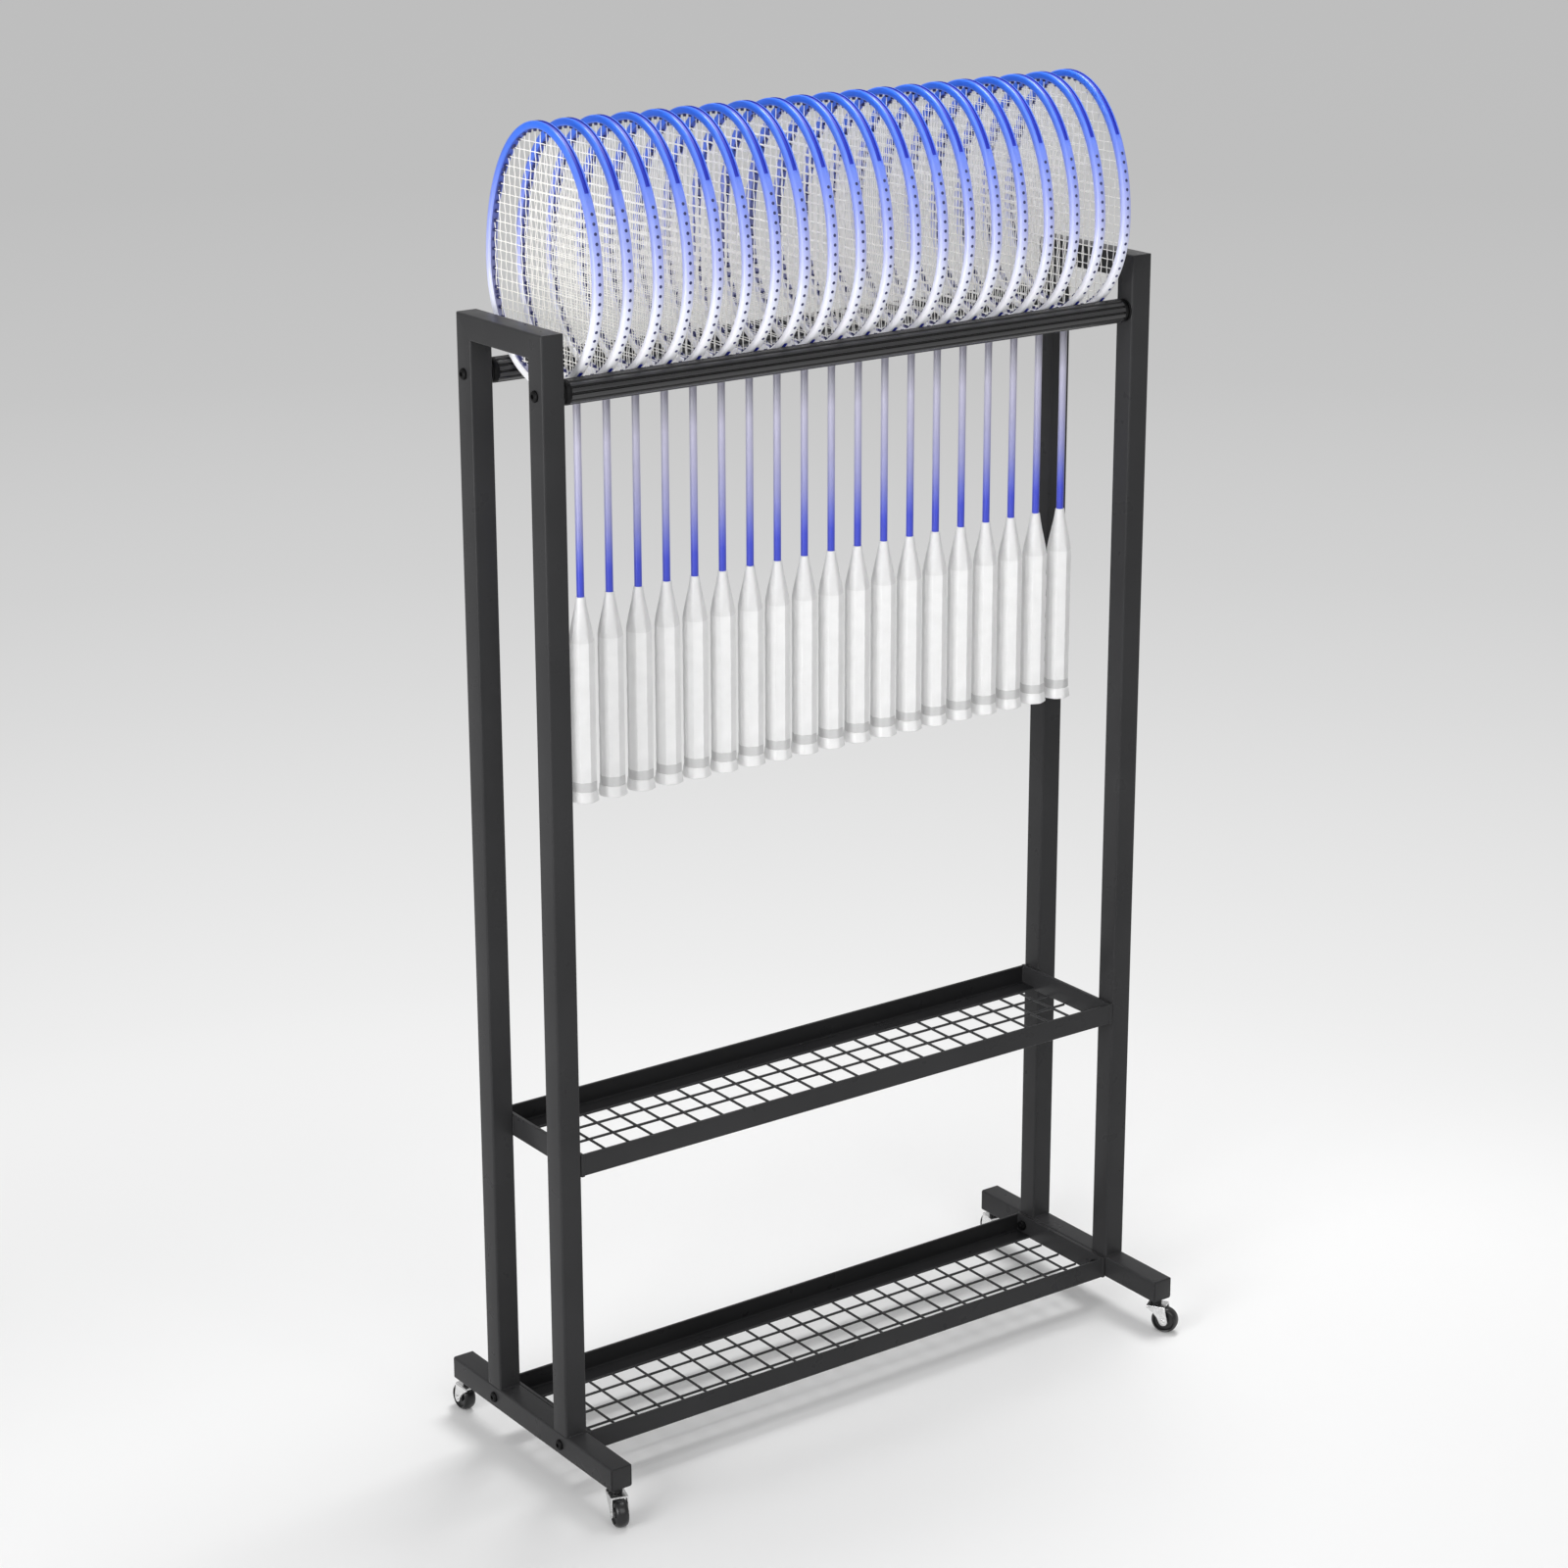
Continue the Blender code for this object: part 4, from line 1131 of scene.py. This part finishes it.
def make_grommets_mesh():
    """Barrels at both ends of every string, and evenly spaced domes down the outer sides."""
    bm = bmesh.new()
    for y in centred(MAINS, MAIN_PITCH):
        turn = math.acos(y / (HEAD_HALF_WIDTH - RIM_DEPTH))
        add_barrel(bm, turn, (0.0, -1.0))
        add_barrel(bm, 2 * math.pi - turn, (0.0, 1.0))
    for z in centred(CROSSES, CROSS_PITCH, CROSS_MIDDLE):
        rise = math.asin(z / (head_reach(z) - RIM_DEPTH))
        add_barrel(bm, rise, (-1.0, 0.0))
        add_barrel(bm, math.pi - rise, (1.0, 0.0))
    angle = RIGHT_ANGLE - TOP_GROOVE
    gone = 0.0
    last = Vector(head_point(angle))
    while angle > BOTTOM_GROOVE - RIGHT_ANGLE:
        angle -= GROMMET_SEARCH
        here = Vector(head_point(angle))
        gone += (here - last).length
        last = here
        if gone > GROMMET_SPACING:
            gone -= GROMMET_SPACING
            for place in (angle, math.pi - angle):
                add_turned(bm, (0.0, *head_point(place)), head_normal(place), DOME)
    return finish_mesh(bm, "grommets")


def make_shaft_mesh():
    """The fairing under the head and the shaft down to the cone."""
    rings = []
    for depth, half_x, half_y in SHAFT_STATIONS:
        rings.append([(u * half_x, v * half_y, -depth) for u, v in circle(1.0, SHAFT_SIDES)])
    return loft_mesh("shaft", rings)


def octagon_ring(apothem, corner, roundness):
    """A rounded octagon as (x, y), from round (1) to flat-sided (0)."""
    points = []
    for index in range(GRIP_POINTS):
        angle = 2 * math.pi * index / GRIP_POINTS
        flat = min(apothem / math.cos(from_flat(angle - GRIP_TURN, OCTAGON)), corner)
        points.append(polar(flat + (apothem * GRIP_ROUND - flat) * roundness, angle))
    return points


def octagon_at(depth, radius, roundness):
    """A level octagon ring whose apothem is the given radius."""
    return lifted(octagon_ring(radius, radius * GRIP_CORNER / GRIP_APOTHEM, roundness), -depth)


def make_cone_mesh():
    """The cone cap, round at the shaft and eight-sided at the grip."""
    rings = [octagon_at(depth, radius, 1.0) for depth, radius in CONE_LIP]
    for step in range(1, CONE_STEPS + 1):
        share = step / CONE_STEPS
        swell = eased(share) * CONE_SWELL + share * (1 - CONE_SWELL)
        radius = CONE_START + (GRIP_APOTHEM + CONE_OVER_GRIP - CONE_START) * swell
        rings.append(octagon_at(CONE_TOP + CONE_DROP + CONE_LENGTH * share, radius, 1 - share))
    return loft_mesh("cone", rings)


def make_grip_mesh():
    """The wound grip: each turn of the wrap laps over the one before."""
    count = round(GRIP_LENGTH / GRIP_RING_STEP)
    base = octagon_ring(GRIP_APOTHEM, GRIP_CORNER, GRIP_ROUNDNESS)
    rings = []
    for step in range(count + 1):
        depth = GRIP_TOP + GRIP_LENGTH * step / count
        ring = []
        for index, (u, v) in enumerate(base):
            phase = (depth / WRAP_PITCH + index / GRIP_POINTS) % 1.0
            lap = (1 - phase) / (1 - WRAP_EDGE) if phase > WRAP_EDGE else phase / WRAP_EDGE
            grow = 1 + WRAP_STEP * lap / GRIP_APOTHEM
            ring.append((u * grow, v * grow, -depth))
        rings.append(ring)
    return loft_mesh("grip", rings)


def make_butt_part(name, stations):
    """The grey finishing band under the grip, or the flared butt cap with its rounded rim."""
    return loft_mesh(name, [octagon_at(depth, radius, BUTT_ROUNDNESS) for depth, radius in stations])


def make_rackets():
    """Dress every racket with the same eight meshes."""
    parts = [
        ("rim", make_rim_mesh(), [RIM_PAINT, GROOVE_BLUE, INNER_PAINTED_SHADE]),
        ("strings", make_strings_mesh(), [STRING_WHITE]),
        ("grommets", make_grommets_mesh(), [GROMMET_NAVY]),
        ("shaft", make_shaft_mesh(), [SHAFT_PAINT]),
        ("cone", make_cone_mesh(), [CONE_WHITE]),
        ("grip", make_grip_mesh(), [GRIP_WHITE]),
        ("band", make_butt_part("band", BAND_STATIONS), [RING_GREY]),
        ("butt", make_butt_part("butt", BUTT_STATIONS), [BUTT_WHITE]),
    ]
    for node in RACKETS:
        low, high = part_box(node)
        middle = (low + high) / 2
        matrix = Matrix.Translation((middle.x, middle.y, high.z - HEAD_ABOVE))
        for part, mesh, materials in parts:
            nodes = [node] if part == "rim" else ()
            add_piece(f"{node}_{part}", mesh, materials, nodes, f"hung_{node}", matrix)


# Floor, backdrop and lamps
FLOOR_RADIUS = 60.0
FLOOR_SIDES = 96
FLOOR_COLOUR = 0.80
GLOW_CENTRE = (-0.45, -0.55, 0.0)
NEAR_FLOOR = 1.15
FAR_FLOOR = 1.85
FLOOR_STOPS = [
    (1.20, 0.965), (1.60, 0.905), (1.95, 0.850), (2.35, 0.805), (3.00, 0.742), (3.42, 0.702),
    (4.20, 0.644), (6.10, 0.565), (9.20, 0.521), (14.7, 0.515),
]
BACKDROP = 0.515
WORLD_LIGHT = 0.35
FLOOR_GLOW = 0.07
# Name, place, aim, size, watts and width of the beam in degrees
LAMPS = [
    ("key", (-2.1, -0.50, 1.00), (0.0, 0.0, 0.92), 1.10, 12.3, 110.0),
    ("heads", (-0.8, -0.55, 2.8), (0.25, 0.05, 1.38), 0.8, 1.45, 44.0),
    ("fill", (-0.7, -2.8, 2.2), (0.0, 0.0, 0.75), 2.0, 29.5, 180.0),
    ("top", (1.15, 0.5, 4.15), (-0.6, -0.4, 0.0), 1.6, 100.0, 180.0),
]


def seen_ray(owner):
    """1 for camera, glossy and transmission rays, and 0 for the rest."""
    path = add_node(owner, "LightPath")
    total = path.outputs["Is Camera Ray"]
    for name in ("Is Glossy Ray", "Is Transmission Ray"):
        node = add_node(owner, "Math")
        node.operation = "MAXIMUM"
        join(owner, total, node.inputs[0])
        join(owner, path.outputs[name], node.inputs[1])
        total = node.outputs["Value"]
    return total


def mixed(owner, share, first, second):
    """A shader that goes from the first to the second with a share."""
    node = add_node(owner, "MixShader")
    join(owner, share, node.inputs["Fac"])
    join(owner, first, node.inputs[1])
    join(owner, second, node.inputs[2])
    return node.outputs["Shader"]


def make_world():
    """Even light from all round, with a pale grey backdrop where it is seen."""
    world = bpy.data.worlds.new("studio")
    bpy.context.scene.world = world
    world.use_nodes = True
    world.node_tree.nodes.clear()
    light = add_node(world, "Background", Color=(1.0, 1.0, 1.0, 1.0), Strength=WORLD_LIGHT)
    backdrop = add_node(world, "Background", Color=(BACKDROP, BACKDROP, BACKDROP, 1.0))
    shader = mixed(world, seen_ray(world), light.outputs["Background"], backdrop.outputs["Background"])
    join(world, shader, add_node(world, "OutputWorld").inputs["Surface"])


def make_floor():
    """A pale floor that keeps the rack's shadow and fades to the backdrop's grey far away."""
    bm = bmesh.new()
    bmesh.ops.create_circle(bm, cap_ends=True, segments=FLOOR_SIDES, radius=FLOOR_RADIUS)
    floor = new_object("floor", plain_mesh(bm, "floor"))
    material = bpy.data.materials.new("floor")
    material.use_nodes = True
    material.node_tree.nodes.clear()
    floor.data.materials.append(material)
    length = add_node(material, "VectorMath")
    length.operation = "DISTANCE"
    length.inputs[1].default_value = GLOW_CENTRE
    join(material, object_space(material), length.inputs[0])
    distance = length.outputs["Value"]
    farthest = FLOOR_STOPS[-1][0]
    position = spread(material, distance, 0.0, 1.0, 0.0, farthest)
    stops = [(radius / farthest, (grey, grey, grey)) for radius, grey in FLOOR_STOPS]
    glow = add_node(material, "Emission")
    join(material, ramp(material, position, stops), glow.inputs["Color"])
    matt = add_node(material, "BsdfDiffuse", Color=(FLOOR_COLOUR, FLOOR_COLOUR, FLOOR_COLOUR, 1.0))
    lift = add_node(material, "Emission", Strength=FLOOR_GLOW)
    near = add_node(material, "AddShader")
    join(material, matt.outputs["BSDF"], near.inputs[0])
    join(material, lift.outputs["Emission"], near.inputs[1])
    reach = spread(material, distance, 0.0, 1.0, NEAR_FLOOR, FAR_FLOOR)
    reach.node.interpolation_type = "SMOOTHSTEP"
    seen = mixed(material, reach, near.outputs["Shader"], glow.outputs["Emission"])
    lit = mixed(material, seen_ray(material), matt.outputs["BSDF"], seen)
    join(material, lit, add_node(material, "OutputMaterial").inputs["Surface"])


def make_lamp(name, place, target, size, power, beam):
    """A square soft lamp aimed at a point, with its beam as wide as asked."""
    data = bpy.data.lights.new(name, "AREA")
    data.size = size
    data.energy = power
    data.spread = math.radians(beam)
    light = new_object(name, data)
    light.location = place
    light.rotation_mode = "QUATERNION"
    light.rotation_quaternion = (Vector(target) - Vector(place)).to_track_quat("-Z", "Y")


def make_camera():
    """The camera at the photograph's place."""
    data = bpy.data.cameras.new("camera")
    data.lens = CAMERA_LENS
    data.sensor_width = CAMERA_SENSOR
    camera = new_object("camera", data)
    yaw = Matrix.Rotation(-CAMERA_YAW, 4, "Z")
    pitch = Matrix.Rotation(RIGHT_ANGLE + CAMERA_PITCH, 4, "X")
    roll = Matrix.Rotation(CAMERA_ROLL, 4, "Z")
    camera.matrix_world = Matrix.Translation(CAMERA_PLACE) @ yaw @ pitch @ roll
    bpy.context.scene.camera = camera


make_camera()
make_world()
make_floor()
for lamp in LAMPS:
    make_lamp(*lamp)
for corner_side, corner_end in CORNERS:
    make_upright(corner_side, corner_end)
for rack_side in SIDES:
    make_crossbar(rack_side)
    make_foot(rack_side)
make_beads()
for rack_end in ENDS:
    make_rail(rack_end)
for tray_name in TRAYS:
    make_tray_frame(tray_name)
    make_wires(tray_name)
make_bolts()
make_casters()
make_rackets()

bpy.context.scene.view_settings.view_transform = "Standard"
